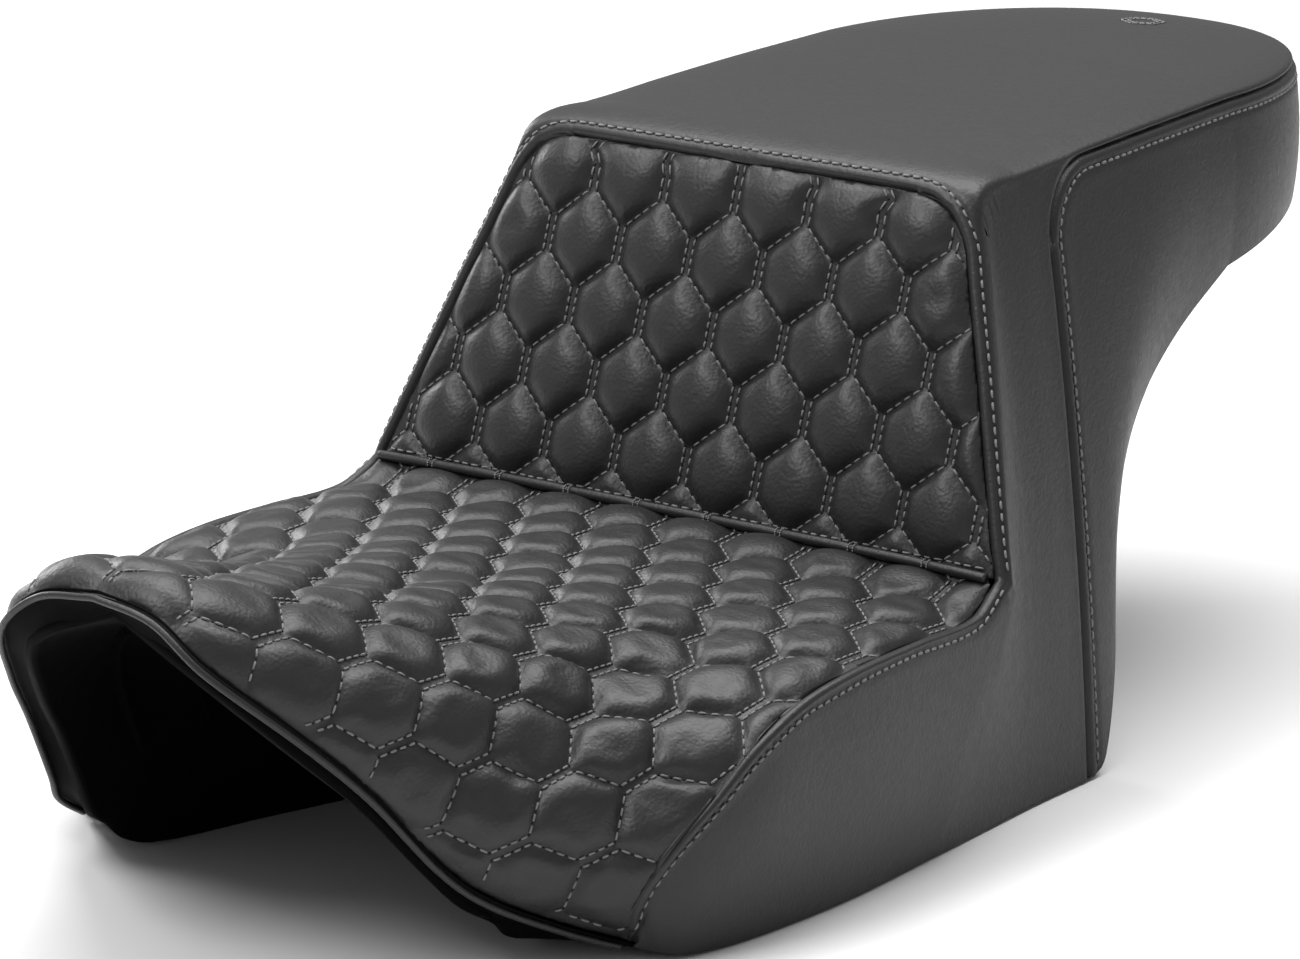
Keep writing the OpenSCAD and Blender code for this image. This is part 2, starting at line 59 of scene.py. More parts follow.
RIDER_SEAM = [[0, 150, -230, 3], [0.05, 157, -238, 20], [0.12, 168, -230, 44], [0.2, 176, -208, 66],
              [0.3, 179, -186, 83], [0.45, 178, -154, 94], [0.6, 177, -117, 98],
              [0.78, 175, -70, 98], [0.93, 172.5, -22, 97], [1, 169, 0, 106]]
HEM_LINE = [[0, 150, -230, 2], [0.15, 165, -213, -3], [0.3, 173, -180, -4], [0.6, 177, -120, -4],
            [1, 174, -50, -4], [2, 169, 35, -4], [3, 168, 82, -4], [3.08, 167, 96, 3],
            [3.2, 160, 113, 38], [3.4, 150, 127, 84], [3.6, 141, 147, 122], [3.8, 132, 179, 150],
            [3.9, 126, 215, 169], [4, 121, 262, 188]]
TOP_LINE = [[1, 0, 108], [1.1, 3.5, 122], [1.9, 43, 243], [2, 48, 259], [2.1, 53, 265],
            [2.3, 66, 268.5], [2.6, 88, 269], [3, 110, 269.5], [3.5, 190, 272], [4, 270, 273]]
SHOULDER_LINE = [[1, 176, 9, 104], [1.5, 150, 34, 181], [1.9, 129, 54, 240], [2.1, 124, 63, 254],
                 [2.5, 122, 84, 259], [3, 121, 108, 261], [3.5, 119, 190, 263], [4, 116, 270, 264]]
PAN_FRONT = [[0, 0, -374, 150], [0.2, 42, -375, 131], [0.35, 65, -345, 97], [0.5, 78, -319, 71],
             [0.7, 90, -294, 40], [0.85, 98, -279, 22], [1, 105, -264, 12]]
PAN_ROOF = [[0, -374, 150], [0.25, -292, 122], [0.4, -236, 99], [0.55, -176, 80], [0.7, -120, 78],
            [0.9, -50, 78], [1, -14, 78.5], [1.5, 38, 100], [2, 78, 146], [2.5, 104, 176],
            [3, 128, 192], [3.5, 172, 204], [4, 262, 213]]
PAN_EDGE = [[0, 105, -264, 12], [0.05, 104, -255, 4], [0.12, 102, -238, -2], [0.3, 95, -192, -5],
            [0.6, 76, -122, -5], [1, 72, -50, -5],
            [2, 76, 35, -5], [3, 82, 82, -5], [3.08, 83, 96, 2], [3.2, 84, 112, 38],
            [3.4, 86, 127, 84], [3.6, 88, 147, 122], [3.8, 89, 179, 150], [3.9, 89, 215, 169],
            [4, 88, 262, 188]]
RIM_SETBACK = 6
RIM_HOLLOW = 1.6
PAN_WALL = 4
CENTRE_Y = 31.6
FOOT_Z = -5
HEM_Z = -4
REAR_Y = 270
REAR_LENGTH = 150
REAR_POWER = 2.1
REAR_TURN = 84
SEAM_DROP = 3
SHOULDER_BAND = 7
LUMBAR_CORNER = 25
BOXING_CORNER = 35
WELT_HALF = 169
WELT_Z = 108
WELT_DROP = 1.5

# ---- Sewing, in millimetres
VINYL = 1.2
SEAM_DEPTH = 2.6
WELT_R = 2.25
PIPING_R = 1.5
PINCH_DEPTH = 0.45
PINCH_WIDTH = 1.8
TIE_APART = 1.3
TIE_TURN_R = 2.0
TOPSTITCH_AWAY = 6.5
HEX_PITCH = 39
HEX_SIDE = 17.5
TWIN_ROWS = 1.9
SIDE_STITCHES = 4
TOPSTITCH_PITCH = 5.4
THREAD_R = 0.55
TOPSTITCH_R = 0.62
TIE_R = 0.4
HOLE_R = 0.8
HOLE_DEPTH = 0.5
STITCH_GAP = 0.32
EDGE_CLEARANCE = 1.6
ARCH_CLEARANCE = 4.5
GROOVE = 2.2
RIDER_PUFF = 3.8
LUMBAR_PUFF = 4.6
DOME_WIDTH = 3.8
QUILT_COLS = 7
QUILT_ROWS = 11
CLOTH_PRESSURE = 4.0
CLOTH_FRAMES = 20
CLOTH_CAP = 1.2
MOTIF_Y = 374
MOTIF_SIZES = (7.5, 10.5)
RIB_DEPTH = 4
SEW_FOAM_DEPTH = 4.4


# ---- The seat's surface
def curve(points, u):
    """Smooth curve through rows of (parameter, values...), at every parameter in u."""
    table = np.array(points, float)
    keys, values = table[:, 0], table[:, 1:]
    last = len(keys) - 1
    i = np.clip(np.searchsorted(keys, u, side="right") - 1, 0, last - 1)
    before, after = np.maximum(np.arange(last + 1) - 1, 0), np.minimum(np.arange(last + 1) + 1, last)
    slope = (values[after] - values[before]) / (keys[after] - keys[before])[:, None]
    h = (keys[i + 1] - keys[i])[..., None]
    s = (np.asarray(u) - keys[i])[..., None] / h
    return (values[i] * (2 * s**3 - 3 * s**2 + 1) + slope[i] * h * (s**3 - 2 * s**2 + s)
            + values[i + 1] * (3 * s**2 - 2 * s**3) + slope[i + 1] * h * (s**3 - s**2))


def mix(a, b, t):
    return a + (b - a) * t


def stack(*parts):
    return np.stack(np.broadcast_arrays(*parts), axis=-1).astype(float)


def arc_drop(r, d):
    """Depth of a circle of radius r below its tangent, at a distance d from where it meets it."""
    return np.where(d >= r, 0, r - np.sqrt(r * r - (r - np.clip(d, 0, r))**2))


def rear_angle(u):
    return np.radians(np.clip(u - 4, 0, 1) * REAR_TURN)


def shoulder(u):
    a = rear_angle(u)
    _, x, _, z = SHOULDER_LINE[-1]
    rear = stack(x * np.cos(a)**(2 / REAR_POWER), REAR_Y + REAR_LENGTH * np.sin(a), z - SEAM_DROP * np.sin(a))
    return np.where((u <= 4)[..., None], curve(SHOULDER_LINE, np.minimum(u, 4)), rear)


def crown(u):
    a = rear_angle(u)
    rise = TOP_LINE[-1][2] - SHOULDER_LINE[-1][3]
    rear = stack(0, REAR_Y + REAR_LENGTH * np.sin(a), shoulder(u)[..., 2] + rise * np.cos(a)**0.8)
    front = curve(TOP_LINE, np.minimum(u, 4))
    return np.where((u <= 4)[..., None], stack(0, front[..., 0], front[..., 1]), rear)


def hem(u):
    a = rear_angle(u)
    rear = stack(121 * np.cos(a)**(2 / REAR_POWER), REAR_Y - 8 + (REAR_LENGTH + 6) * np.sin(a),
                 188 + 22 * np.sin(a))
    front = curve(HEM_LINE, np.minimum(u, 4))
    front[..., 2] = np.maximum(front[..., 2], HEM_Z)
    return np.where((u <= 4)[..., None], front, rear)


def section(u, tau):
    """Behind the welt: tau runs 0 to 1 from the crown to the shoulder, and 1 to 2 down the side."""
    c, h, b = crown(u), shoulder(u), hem(u)
    n = np.interp(u, [1, 2, 2.6, 3, 5], [7, 6, 3, 2.7, 2.6])
    bulge = np.interp(u, [1, 2, 3, 4, 5], [5, 6, 4, 3, 3])
    a = np.radians(np.clip(tau, 0, 1) * 90)
    q = 1 - np.cos(a)**(2 / n)
    top = stack(h[..., 0] * np.sin(a)**(2 / n), mix(c[..., 1], h[..., 1], q), mix(c[..., 2], h[..., 2], q))
    f = np.clip(tau - 1, 0, 1)
    side = mix(h, b, f[..., None])
    side[..., 0] += bulge * 4 * f * (1 - f)
    return np.where((tau <= 1)[..., None], top, side)


def edge_tau(u):
    """tau of the sewn edge: the lumbar panel's side, then the boxing's upper edge."""
    low, high = np.clip(u, 1, 2), np.maximum(u, 3)
    width = shoulder(low)[..., 0]
    x = width - SHOULDER_BAND - arc_drop(LUMBAR_CORNER, (2 - low) * 160)
    at_lumbar = np.degrees(np.arcsin((x / width)**(np.interp(low, [1, 2], [7, 6]) / 2))) / 90
    s = shoulder(high)
    drop = arc_drop(BOXING_CORNER, s[..., 1] - shoulder(np.array(3.0))[1])
    at_boxing = 1 + drop / np.linalg.norm(s - hem(high), axis=-1)
    return np.where(u <= 2, at_lumbar, np.where(u >= 3, at_boxing, mix(at_lumbar, at_boxing, u - 2)))


def welt_line(t):
    return stack(WELT_HALF * t, 0, WELT_Z - WELT_DROP * t**4)


def rider(u, t):
    """The rider panel: a patch between its centre line, its seam, the arch edge and the welt."""
    b = (0.65 * u + 0.35 * u * u * (3 - 2 * u))[..., None]
    zero, one = np.zeros_like(u), np.ones_like(u)
    centre = curve(RIDER_CENTRE, u)
    across = mix(curve(FRONT_EDGE, t), welt_line(t), b)
    at_centre = stack(0, centre[..., 0], centre[..., 1]) - mix(curve(FRONT_EDGE, zero), welt_line(zero), b)
    at_seam = curve(RIDER_SEAM, u) - mix(curve(FRONT_EDGE, one), welt_line(one), b)
    points = across + (1 - t)[..., None] * at_centre + t[..., None] * at_seam
    points[..., 2] += 66 * t**3 * (1 - t) * np.interp(u, [0, 0.3, 0.6, 0.85, 1], [0, 0.3, 1, 0.8, 0])
    return points


def flank(u, s):
    """s runs 0 to 1 from the sewn edge to the hem. Ahead of the welt its section is carried on."""
    late, one = np.maximum(u, 1), np.ones_like(u)
    here = section(late, mix(edge_tau(late), 2, s))
    p0, p1 = section(one, edge_tau(one)), section(one, 2 * one)
    e, b = curve(RIDER_SEAM, np.minimum(u, 1)), hem(u)
    k = np.minimum(np.linalg.norm(e - b, axis=-1) / np.linalg.norm(p0 - p1, axis=-1), 1)**0.7
    ahead = mix(e, b, s[..., None]) + (here - mix(p0, p1, s[..., None])) * k[..., None]
    return np.where((u >= 1)[..., None], here, ahead)


def seat_point(u, g):
    """g runs 0 to 1 across a panel and 1 to 2 down the flank, and is negative on the right."""
    u, g = [np.array(v, float) for v in np.broadcast_arrays(u, g)]
    half = np.abs(g)
    late = np.maximum(u, 1)
    behind = section(late, edge_tau(late) * np.minimum(half, 1))
    ahead = rider(np.clip(u, 0, 1), np.minimum(half, 1))
    panel = np.where((u < 1)[..., None], ahead, behind)
    points = np.where((half > 1)[..., None], flank(u, np.clip(half - 1, 0, 1)), panel)
    points[..., 0] *= np.sign(g)
    return points


def pan_inner(u):
    a = rear_angle(u)
    rear = stack(88 * np.cos(a)**(2 / REAR_POWER), REAR_Y - 8 + (REAR_LENGTH - 28) * np.sin(a),
                 188 + 20 * np.sin(a))
    front = curve(PAN_EDGE, np.minimum(u, 4))
    front[..., 2] = np.maximum(front[..., 2], FOOT_Z)
    return np.where((u <= 4)[..., None], front, rear)


def pan_top(u):
    a = rear_angle(u)
    front = curve(PAN_ROOF, np.minimum(u, 4))
    rear = stack(0, 262 + (REAR_LENGTH - 32) * np.sin(a), 213 + 4 * np.sin(a))
    return np.where((u <= 4)[..., None], stack(0, front[..., 0], front[..., 1]), rear)


def tunnel(u, q):
    c, e = pan_top(u), pan_inner(u)
    a = np.radians(q * 90)
    k = 1 - np.cos(a)**0.5
    return stack(e[..., 0] * np.sin(a)**0.5, mix(c[..., 1], e[..., 1], k), mix(c[..., 2], e[..., 2], k))


def pan_point(u, q):
    """The pan's underside: q runs 0 to 1 from the roof to its inner edge, and 1 to 2 out to the rim."""
    u, q = [np.array(v, float) for v in np.broadcast_arrays(u, q)]
    half, a = np.abs(q), rear_angle(u)
    roof = np.minimum(half, 1)
    fade = (np.clip(1 - u / 0.4, 0, 1)**2)[..., None]
    inner = tunnel(u, roof) + fade * (curve(PAN_FRONT, roof) - tunnel(0 * u, roof))
    rim = hem(u) - stack(RIM_SETBACK * np.cos(a), RIM_SETBACK * np.sin(a), HEM_Z - FOOT_Z)
    outer = mix(pan_inner(u), rim, (half - 1)[..., None])
    outer[..., 2] += RIM_HOLLOW * np.sin(np.radians((half - 1) * 180))
    points = np.where((half > 1)[..., None], outer, inner)
    points[..., 0] *= np.sign(q)
    return points


def unit(v):
    return v / np.maximum(np.linalg.norm(v, axis=-1, keepdims=True), 1e-9)


def grid_normals(points):
    return unit(np.cross(unit(np.gradient(points, axis=1)), unit(np.gradient(points, axis=0))))


def placed(points):
    """Guide millimetres to the frame's metres."""
    return (np.asarray(points) - [0, CENTRE_Y, FOOT_Z]) / 1000


# ---- Mesh helpers
def new_piece(name, points, faces, material, slot, smooth=True):
    """A mesh object from guide points, riding on the seat and finished with the given material. The slot is
    not used.
    """
    mesh = bpy.data.meshes.new(name)
    mesh.from_pydata(placed(points).tolist(), [], [list(map(int, f)) for f in faces])
    obj = bpy.data.objects.new(name, mesh)
    bpy.context.scene.collection.objects.link(obj)
    mesh.materials.append(material)
    mesh.polygons.foreach_set("use_smooth", [smooth] * len(mesh.polygons))
    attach(obj, "seat")
    return obj


def grid_faces(rows, cols, keep=None):
    """Quads of a rows by cols grid of points; keep is a mask of its cells."""
    index = np.arange(rows * cols).reshape(rows, cols)
    quads = np.stack([index[:-1, :-1], index[:-1, 1:], index[1:, 1:], index[1:, :-1]], axis=-1)
    return quads[keep] if keep is not None else quads.reshape(-1, 4)


def tidy_mesh(obj, distance=0.00002):
    """Merges coincident points and drops what that leaves flat or loose."""
    bm = bmesh.new()
    bm.from_mesh(obj.data)
    bmesh.ops.remove_doubles(bm, verts=bm.verts, dist=distance)
    bmesh.ops.dissolve_degenerate(bm, edges=bm.edges, dist=distance)
    bmesh.ops.delete(bm, geom=[v for v in bm.verts if not v.link_faces], context="VERTS")
    bm.to_mesh(obj.data)
    bm.free()


def apply_modifier(obj, kind, **settings):
    """Adds a modifier, applies it and leaves the plain mesh."""
    modifier = obj.modifiers.new(kind, kind)
    for key, value in settings.items():
        setattr(modifier, key, value)
    bpy.context.view_layer.update()
    graph = bpy.context.evaluated_depsgraph_get()
    mesh = bpy.data.meshes.new_from_object(obj.evaluated_get(graph))
    obj.modifiers.clear()
    old, obj.data = obj.data, mesh
    bpy.data.meshes.remove(old)


def thicken(obj, thickness=VINYL, offset=-1):
    apply_modifier(obj, "SOLIDIFY", thickness=thickness / 1000, offset=offset, use_even_offset=False)


def surface_of(obj):
    """A search tree over an object's faces, in guide millimetres."""
    mesh = obj.data
    points = np.zeros(len(mesh.vertices) * 3)
    mesh.vertices.foreach_get("co", points)
    points = points.reshape(-1, 3) * 1000 + [0, CENTRE_Y, FOOT_Z]
    return BVHTree.FromPolygons(points.tolist(), [list(p.vertices) for p in mesh.polygons])


def sweep(name, path, radii, material, slot, sides=14):
    """A closed tube along a path; radii may change along it."""
    path = np.asarray(path, float)
    along = unit(np.gradient(path, axis=0))
    side = unit(np.cross(along, [0.2, 0.9, 0.4]))
    up = np.cross(side, along)
    a = np.linspace(0, 2 * math.pi, sides, endpoint=False)
    ring = np.cos(a)[None, :, None] * side[:, None] + np.sin(a)[None, :, None] * up[:, None]
    points = path[:, None] + np.broadcast_to(radii, len(path))[:, None, None] * ring
    n = len(path)
    faces = []
    for i in range(n - 1):
        for k in range(sides):
            m = (k + 1) % sides
            faces.append([i * sides + k, i * sides + m, (i + 1) * sides + m, (i + 1) * sides + k])
    faces += [list(range(sides))[::-1], [(n - 1) * sides + k for k in range(sides)]]
    return new_piece(name, points.reshape(-1, 3), faces, material, slot)


def resampled(path, step):
    """Points a step apart along a line of points."""
    path = np.asarray(path, float)
    run = np.concatenate([[0], np.cumsum(np.linalg.norm(np.diff(path, axis=0), axis=1))])
    count = max(int(round(run[-1] / step)), 1)
    at = np.linspace(0, run[-1], count + 1)
    return np.stack([np.interp(at, run, path[:, k]) for k in range(path.shape[1])], axis=1)


# ---- Materials
def shader(name):
    material = bpy.data.materials.new(name)
    material.use_nodes = True
    tree = material.node_tree
    return material, tree, tree.nodes["Principled BSDF"]


def node(tree, kind, **inputs):
    made = tree.nodes.new(kind)
    for key, value in inputs.items():
        made.inputs[key.replace("_", " ")].default_value = value
    return made


def noise(tree, coords, scale, detail=3.0, rough=0.5):
    made = node(tree, "ShaderNodeTexNoise", Scale=scale, Detail=detail, Roughness=rough)
    tree.links.new(coords.outputs["Object"], made.inputs["Vector"])
    return made.outputs["Fac"]


def ranged(tree, value, low, high, to_low, to_high):
    made = node(tree, "ShaderNodeMapRange", From_Min=low, From_Max=high, To_Min=to_low, To_Max=to_high)
    tree.links.new(value, made.inputs["Value"])
    return made.outputs["Result"]


def tinted(tree, fac, dark, light):
    made = tree.nodes.new("ShaderNodeMix")
    made.data_type = "RGBA"
    colours = [s for s in made.inputs if s.type == "RGBA"]
    colours[0].default_value = (*dark, 1)
    colours[1].default_value = (*light, 1)
    tree.links.new(fac, made.inputs["Factor"])
    return [s for s in made.outputs if s.type == "RGBA"][0]


def bumped(tree, bsdf, *layers):
    """Stacks bumps, each (height output, strength, distance in metres)."""
    normal = None
    for height, strength, distance in layers:
        made = node(tree, "ShaderNodeBump", Strength=strength, Distance=distance)
        tree.links.new(height, made.inputs["Height"])
        if normal is not None:
            tree.links.new(normal, made.inputs["Normal"])
        normal = made.outputs["Normal"]
    tree.links.new(normal, bsdf.inputs["Normal"])


def vinyl(name, dark, light, grain=1.0):
    """Satin upholstery vinyl: pebbled grain, fine pores and a slightly uneven sheen."""
    material, tree, bsdf = shader(name)
    coords = tree.nodes.new("ShaderNodeTexCoord")
    pebble = node(tree, "ShaderNodeTexVoronoi", Scale=620, Randomness=1.0)
    pebble.feature = "SMOOTH_F1"
    tree.links.new(coords.outputs["Object"], pebble.inputs["Vector"])
    pores = noise(tree, coords, 1900, 2.0)
    creases = noise(tree, coords, 240, 5.0, 0.62)
    broad = noise(tree, coords, 9, 3.0)
    tree.links.new(tinted(tree, broad, dark, light), bsdf.inputs["Base Color"])
    tree.links.new(ranged(tree, creases, 0.3, 0.7, 0.40, 0.50), bsdf.inputs["Roughness"])
    bsdf.inputs["Specular IOR Level"].default_value = 0.42
    bumped(tree, bsdf, (creases, 0.35 * grain, 0.0006), (pebble.outputs["Distance"], 0.35 * grain, 0.0005),
           (pores, 0.15 * grain, 0.0002))
    return material


def solid(name, dark, light, rough, scale=40, grain=0.0, metal=0.0, grain_scale=900, specular=0.5):
    """A plain finish whose colour and roughness drift a little, with an optional fine grain."""
    material, tree, bsdf = shader(name)
    coords = tree.nodes.new("ShaderNodeTexCoord")
    drift = noise(tree, coords, scale, 4.0)
    tree.links.new(tinted(tree, drift, dark, light), bsdf.inputs["Base Color"])
    tree.links.new(ranged(tree, drift, 0.3, 0.7, rough[0], rough[1]), bsdf.inputs["Roughness"])
    bsdf.inputs["Metallic"].default_value = metal
    bsdf.inputs["Specular IOR Level"].default_value = specular
    if grain:
        bumped(tree, bsdf, (noise(tree, coords, grain_scale, 3.0), grain, 0.0005))
    return material


QUILT_VINYL = vinyl("quilt_vinyl", (0.013, 0.013, 0.0135), (0.017, 0.017, 0.0175))
PLAIN_VINYL = vinyl("plain_vinyl", (0.013, 0.013, 0.0135), (0.0165, 0.0165, 0.017), 0.8)
TRIM_VINYL = vinyl("trim_vinyl", (0.012, 0.012, 0.013), (0.016, 0.016, 0.017), 0.7)
THREAD = solid("grey_thread", (0.13, 0.13, 0.13), (0.20, 0.20, 0.20), (0.5, 0.7), 900, 0.5, 0, 2600)
# The needle holes' finish is near-black, darker than the vinyl round them: painted shade inside the holes.
HOLE_SHADE = solid("needle_hole_painted_shade", (0.002, 0.002, 0.002), (0.004, 0.004, 0.004), (0.8, 0.9), 900)
# Black pan plastic, made darker than the plastic itself so that it also stands for the shade inside the arch
# and under the seat: partly painted shade.
PAN_BLACK_AND_SHADE = solid("moulded_pan_and_painted_shade", (0.0012, 0.0012, 0.0013), (0.002, 0.002, 0.0021), (0.7, 0.8), 60, 0.5, 0,
            1400, 0.06)
FOAM = solid("moulded_foam", (0.62, 0.50, 0.28), (0.72, 0.60, 0.36), (0.85, 0.95), 30, 0.9, 0, 420)
SEW_FOAM = solid("sew_foam", (0.10, 0.10, 0.11), (0.14, 0.14, 0.15), (0.85, 0.95), 60, 0.9, 0, 700)
GEL = solid("gel", (0.04, 0.12, 0.22), (0.06, 0.17, 0.28), (0.12, 0.22), 30)
BLACK_STEEL = solid("coated_steel", (0.012, 0.012, 0.013), (0.02, 0.02, 0.021), (0.32, 0.42), 90, 0.2, 0, 700)
OXIDE = solid("black_oxide", (0.02, 0.02, 0.022), (0.035, 0.035, 0.037), (0.3, 0.4), 200, 0.1, 0.8)
ZINC = solid("galvanised", (0.45, 0.46, 0.48), (0.6, 0.61, 0.62), (0.28, 0.42), 300, 0.1, 1.0)
ALLOY = solid("rivet_alloy", (0.6, 0.6, 0.61), (0.72, 0.72, 0.73), (0.25, 0.4), 300, 0.1, 1.0)
CHROME = solid("chrome", (0.7, 0.71, 0.73), (0.78, 0.79, 0.8), (0.06, 0.14), 120, 0.03, 1.0)
NYLON = solid("nylon", (0.72, 0.70, 0.62), (0.8, 0.78, 0.7), (0.4, 0.5), 200, 0.1)
RUBBER = solid("bumper_rubber", (0.012, 0.012, 0.012), (0.02, 0.02, 0.02), (0.6, 0.75), 120, 0.3)

FINISHES = {"cover_staples": ZINC, "front_tongue": BLACK_STEEL,
            "tongue_rivets": ALLOY, "rear_tab": BLACK_STEEL, "rear_tab_screws": OXIDE,
            "mounting_screw": CHROME, "retaining_washer": NYLON, "front_bumpers": RUBBER,
            "middle_bumpers": RUBBER, "rear_bumpers": RUBBER}
for name, finish in FINISHES.items():
    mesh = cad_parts[name].data
    mesh.materials.clear()
    mesh.materials.append(finish)


# ---- Seams: where covers meet, as dense lines of points
ALONG = np.linspace(0, 1, 400)
ACROSS = np.linspace(-1, 1, 500)
EDGE = np.full(400, 1.0)


def both_sides(us, gs):
    return [seat_point(us, gs), seat_point(us, -gs)]


SIDE_SEAMS = both_sides(ALONG * 0.999, EDGE)
LUMBAR_SEAMS = both_sides(1 + ALONG, EDGE)
TOP_SEAM = [seat_point(np.full(500, 2.0), ACROSS)]
BOXING_SIDES = both_sides(np.full(400, 3.0), 1 + ALONG)
BOXING_TOP = both_sides(3 + 2 * ALONG, EDGE)
BOXING_TOP += [mix(BOXING_TOP[0][-1], BOXING_TOP[1][-1], np.linspace(0, 1, 30)[:, None])]
WELT_SEAM = [welt_line(ACROSS)]
ARCH_EDGE = [seat_point(np.zeros(500), ACROSS)]


def distance_to(points, *seams):
    """Distance of each point to the nearest of the seams."""
    dense = np.concatenate([p for seam in seams for p in seam])
    tree = KDTree(len(dense))
    for k, p in enumerate(dense):
        tree.insert(p, k)
    tree.balance()
    flat = points.reshape(-1, 3)
    return np.array([tree.find(p)[2] for p in flat]).reshape(points.shape[:-1])


ROLL = [[0, -SEAM_DEPTH], [0.6, -1.7], [1.6, -0.5], [3.2, 0.15], [6, 0.1], [11, 0], [400, 0]]
STITCHED_ROLL = [[0, -SEAM_DEPTH], [0.6, -1.6], [1.6, -0.35], [3.2, 0.35], [5.2, 0.12],
                 [TOPSTITCH_AWAY, -0.5], [7.9, 0.05], [10.5, 0.15], [16, 0], [400, 0]]


def rolled(distance, profile):
    """How far a cover stands out at a distance from its seam."""
    return curve(profile, np.minimum(distance, 399))[..., 0]


# ---- Plain covers: one fine grid, cut into the main cover and the boxing
def eased(a, b, count):
    """Values from a to b, closer together towards both ends."""
    return a + (b - a) * (1 - np.cos(np.linspace(0, math.pi, count))) / 2


def joined(*runs):
    return np.concatenate([runs[0], *[r[1:] for r in runs[1:]]])


def cells_between(us, gs, u0, u1, g0, g1):
    u = (us[:-1] + us[1:]) / 2
    g = np.abs(gs[:-1] + gs[1:]) / 2
    return ((u > u0) & (u < u1))[:, None] & ((g > g0) & (g < g1))[None, :]


def plain_cover(name, points, keep, lifts, replaced):
    points = points + grid_normals(points) * lifts(points)[..., None]
    faces = grid_faces(*points.shape[:2], keep)
    obj = new_piece(name, points.reshape(-1, 3), faces, PLAIN_VINYL, "plain_vinyl")
    tidy_mesh(obj)
    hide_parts(replaced)
    return obj


PLAIN_US = joined(np.linspace(0, 1, 80), np.linspace(1, 2, 60), eased(2, 3, 46), eased(3, 4, 60),
                  np.linspace(4, 5, 60))
SIDE_GS = eased(1, 2, 56)
TOP_TS = eased(-1, 1, 110)
PLAIN_GS = joined(-SIDE_GS[::-1], np.sign(TOP_TS) * TOP_TS**2, SIDE_GS)


def main_lifts(points):
    stitched = distance_to(points, SIDE_SEAMS, LUMBAR_SEAMS, TOP_SEAM)
    plain = distance_to(points, BOXING_SIDES, BOXING_TOP)
    return rolled(stitched, STITCHED_ROLL) + rolled(plain, ROLL)


def boxing_lifts(points):
    return rolled(distance_to(points, BOXING_SIDES, BOXING_TOP), STITCHED_ROLL)


main_cells = (cells_between(PLAIN_US, PLAIN_GS, 0, 3, 1, 2) | cells_between(PLAIN_US, PLAIN_GS, 2, 5, 0, 1))
main_cover = plain_cover("main_cover_sewn", seat_point(PLAIN_US[:, None], PLAIN_GS[None, :]), main_cells,
                         main_lifts, "main_cover")

# The boxing is one strip from the left side seam round the rear to the right one.
left_side = seat_point(PLAIN_US[PLAIN_US >= 3][:, None], SIDE_GS[None, :])
right_side = left_side[::-1] * [-1, 1, 1]
rear = [mix(left_side[-1], right_side[0], f) + [0, 3 * f * (1 - f), 0] for f in np.linspace(0.1, 0.9, 9)]
side_boxing = plain_cover("side_boxing_sewn", np.concatenate([left_side, rear, right_side]), None,
                          boxing_lifts, "side_boxing")


# ---- Quilting
def flattened(us, gs):
    """Lays a panel flat with its angles kept, as cloth is before it is sewn: least squares conformal map.
    Returns the flat x and y of the grid, with x = 0 on the centre line and y = 0 at the first row."""
    points = seat_point(us[:, None], gs[None, :])
    rows, cols = points.shape[:2]
    index = np.arange(rows * cols).reshape(rows, cols)
    a, b, c, d = [k.ravel() for k in (index[:-1, :-1], index[:-1, 1:], index[1:, :-1], index[1:, 1:])]
    triangles = np.concatenate([np.stack(t, 1) for t in ((a, b, d), (a, d, c), (a, b, c), (b, d, c))])
    p0, p1, p2 = points.reshape(-1, 3)[triangles.T]
    length = np.linalg.norm(p1 - p0, axis=1)
    east = (p1 - p0) / length[:, None]
    normal = np.cross(p1 - p0, p2 - p0)
    area = np.linalg.norm(normal, axis=1)
    north = np.cross(normal / area[:, None], east)
    corner = ((p2 - p0) * east).sum(1) + 1j * ((p2 - p0) * north).sum(1)
    local = np.stack([np.zeros_like(length) + 0j, length + 0j, corner], axis=1)
    weight = (np.roll(local, -2, 1) - np.roll(local, -1, 1)) / np.sqrt(area)[:, None]
    total = rows * cols
    energy = np.zeros((total, total), complex)
    for j in range(3):
        for k in range(3):
            np.add.at(energy, (triangles[:, j], triangles[:, k]), weight[:, j].conj() * weight[:, k])
    matrix = np.block([[energy.real, -energy.imag], [energy.imag, energy.real]])
    centre_length = np.linalg.norm(np.diff(points[:, 0], axis=0), axis=1).sum()
    fixed = np.concatenate([index[:, 0], [total + index[0, 0], total + index[-1, 0]]])
    value = np.concatenate([np.zeros(rows), [0, centre_length]])
    free = np.setdiff1d(np.arange(2 * total), fixed)
    flat = np.zeros(2 * total)
    flat[fixed] = value
    flat[free] = np.linalg.solve(matrix[np.ix_(free, free)], -matrix[np.ix_(free, fixed)] @ value)
    return flat[:total].reshape(rows, cols), flat[total:].reshape(rows, cols)


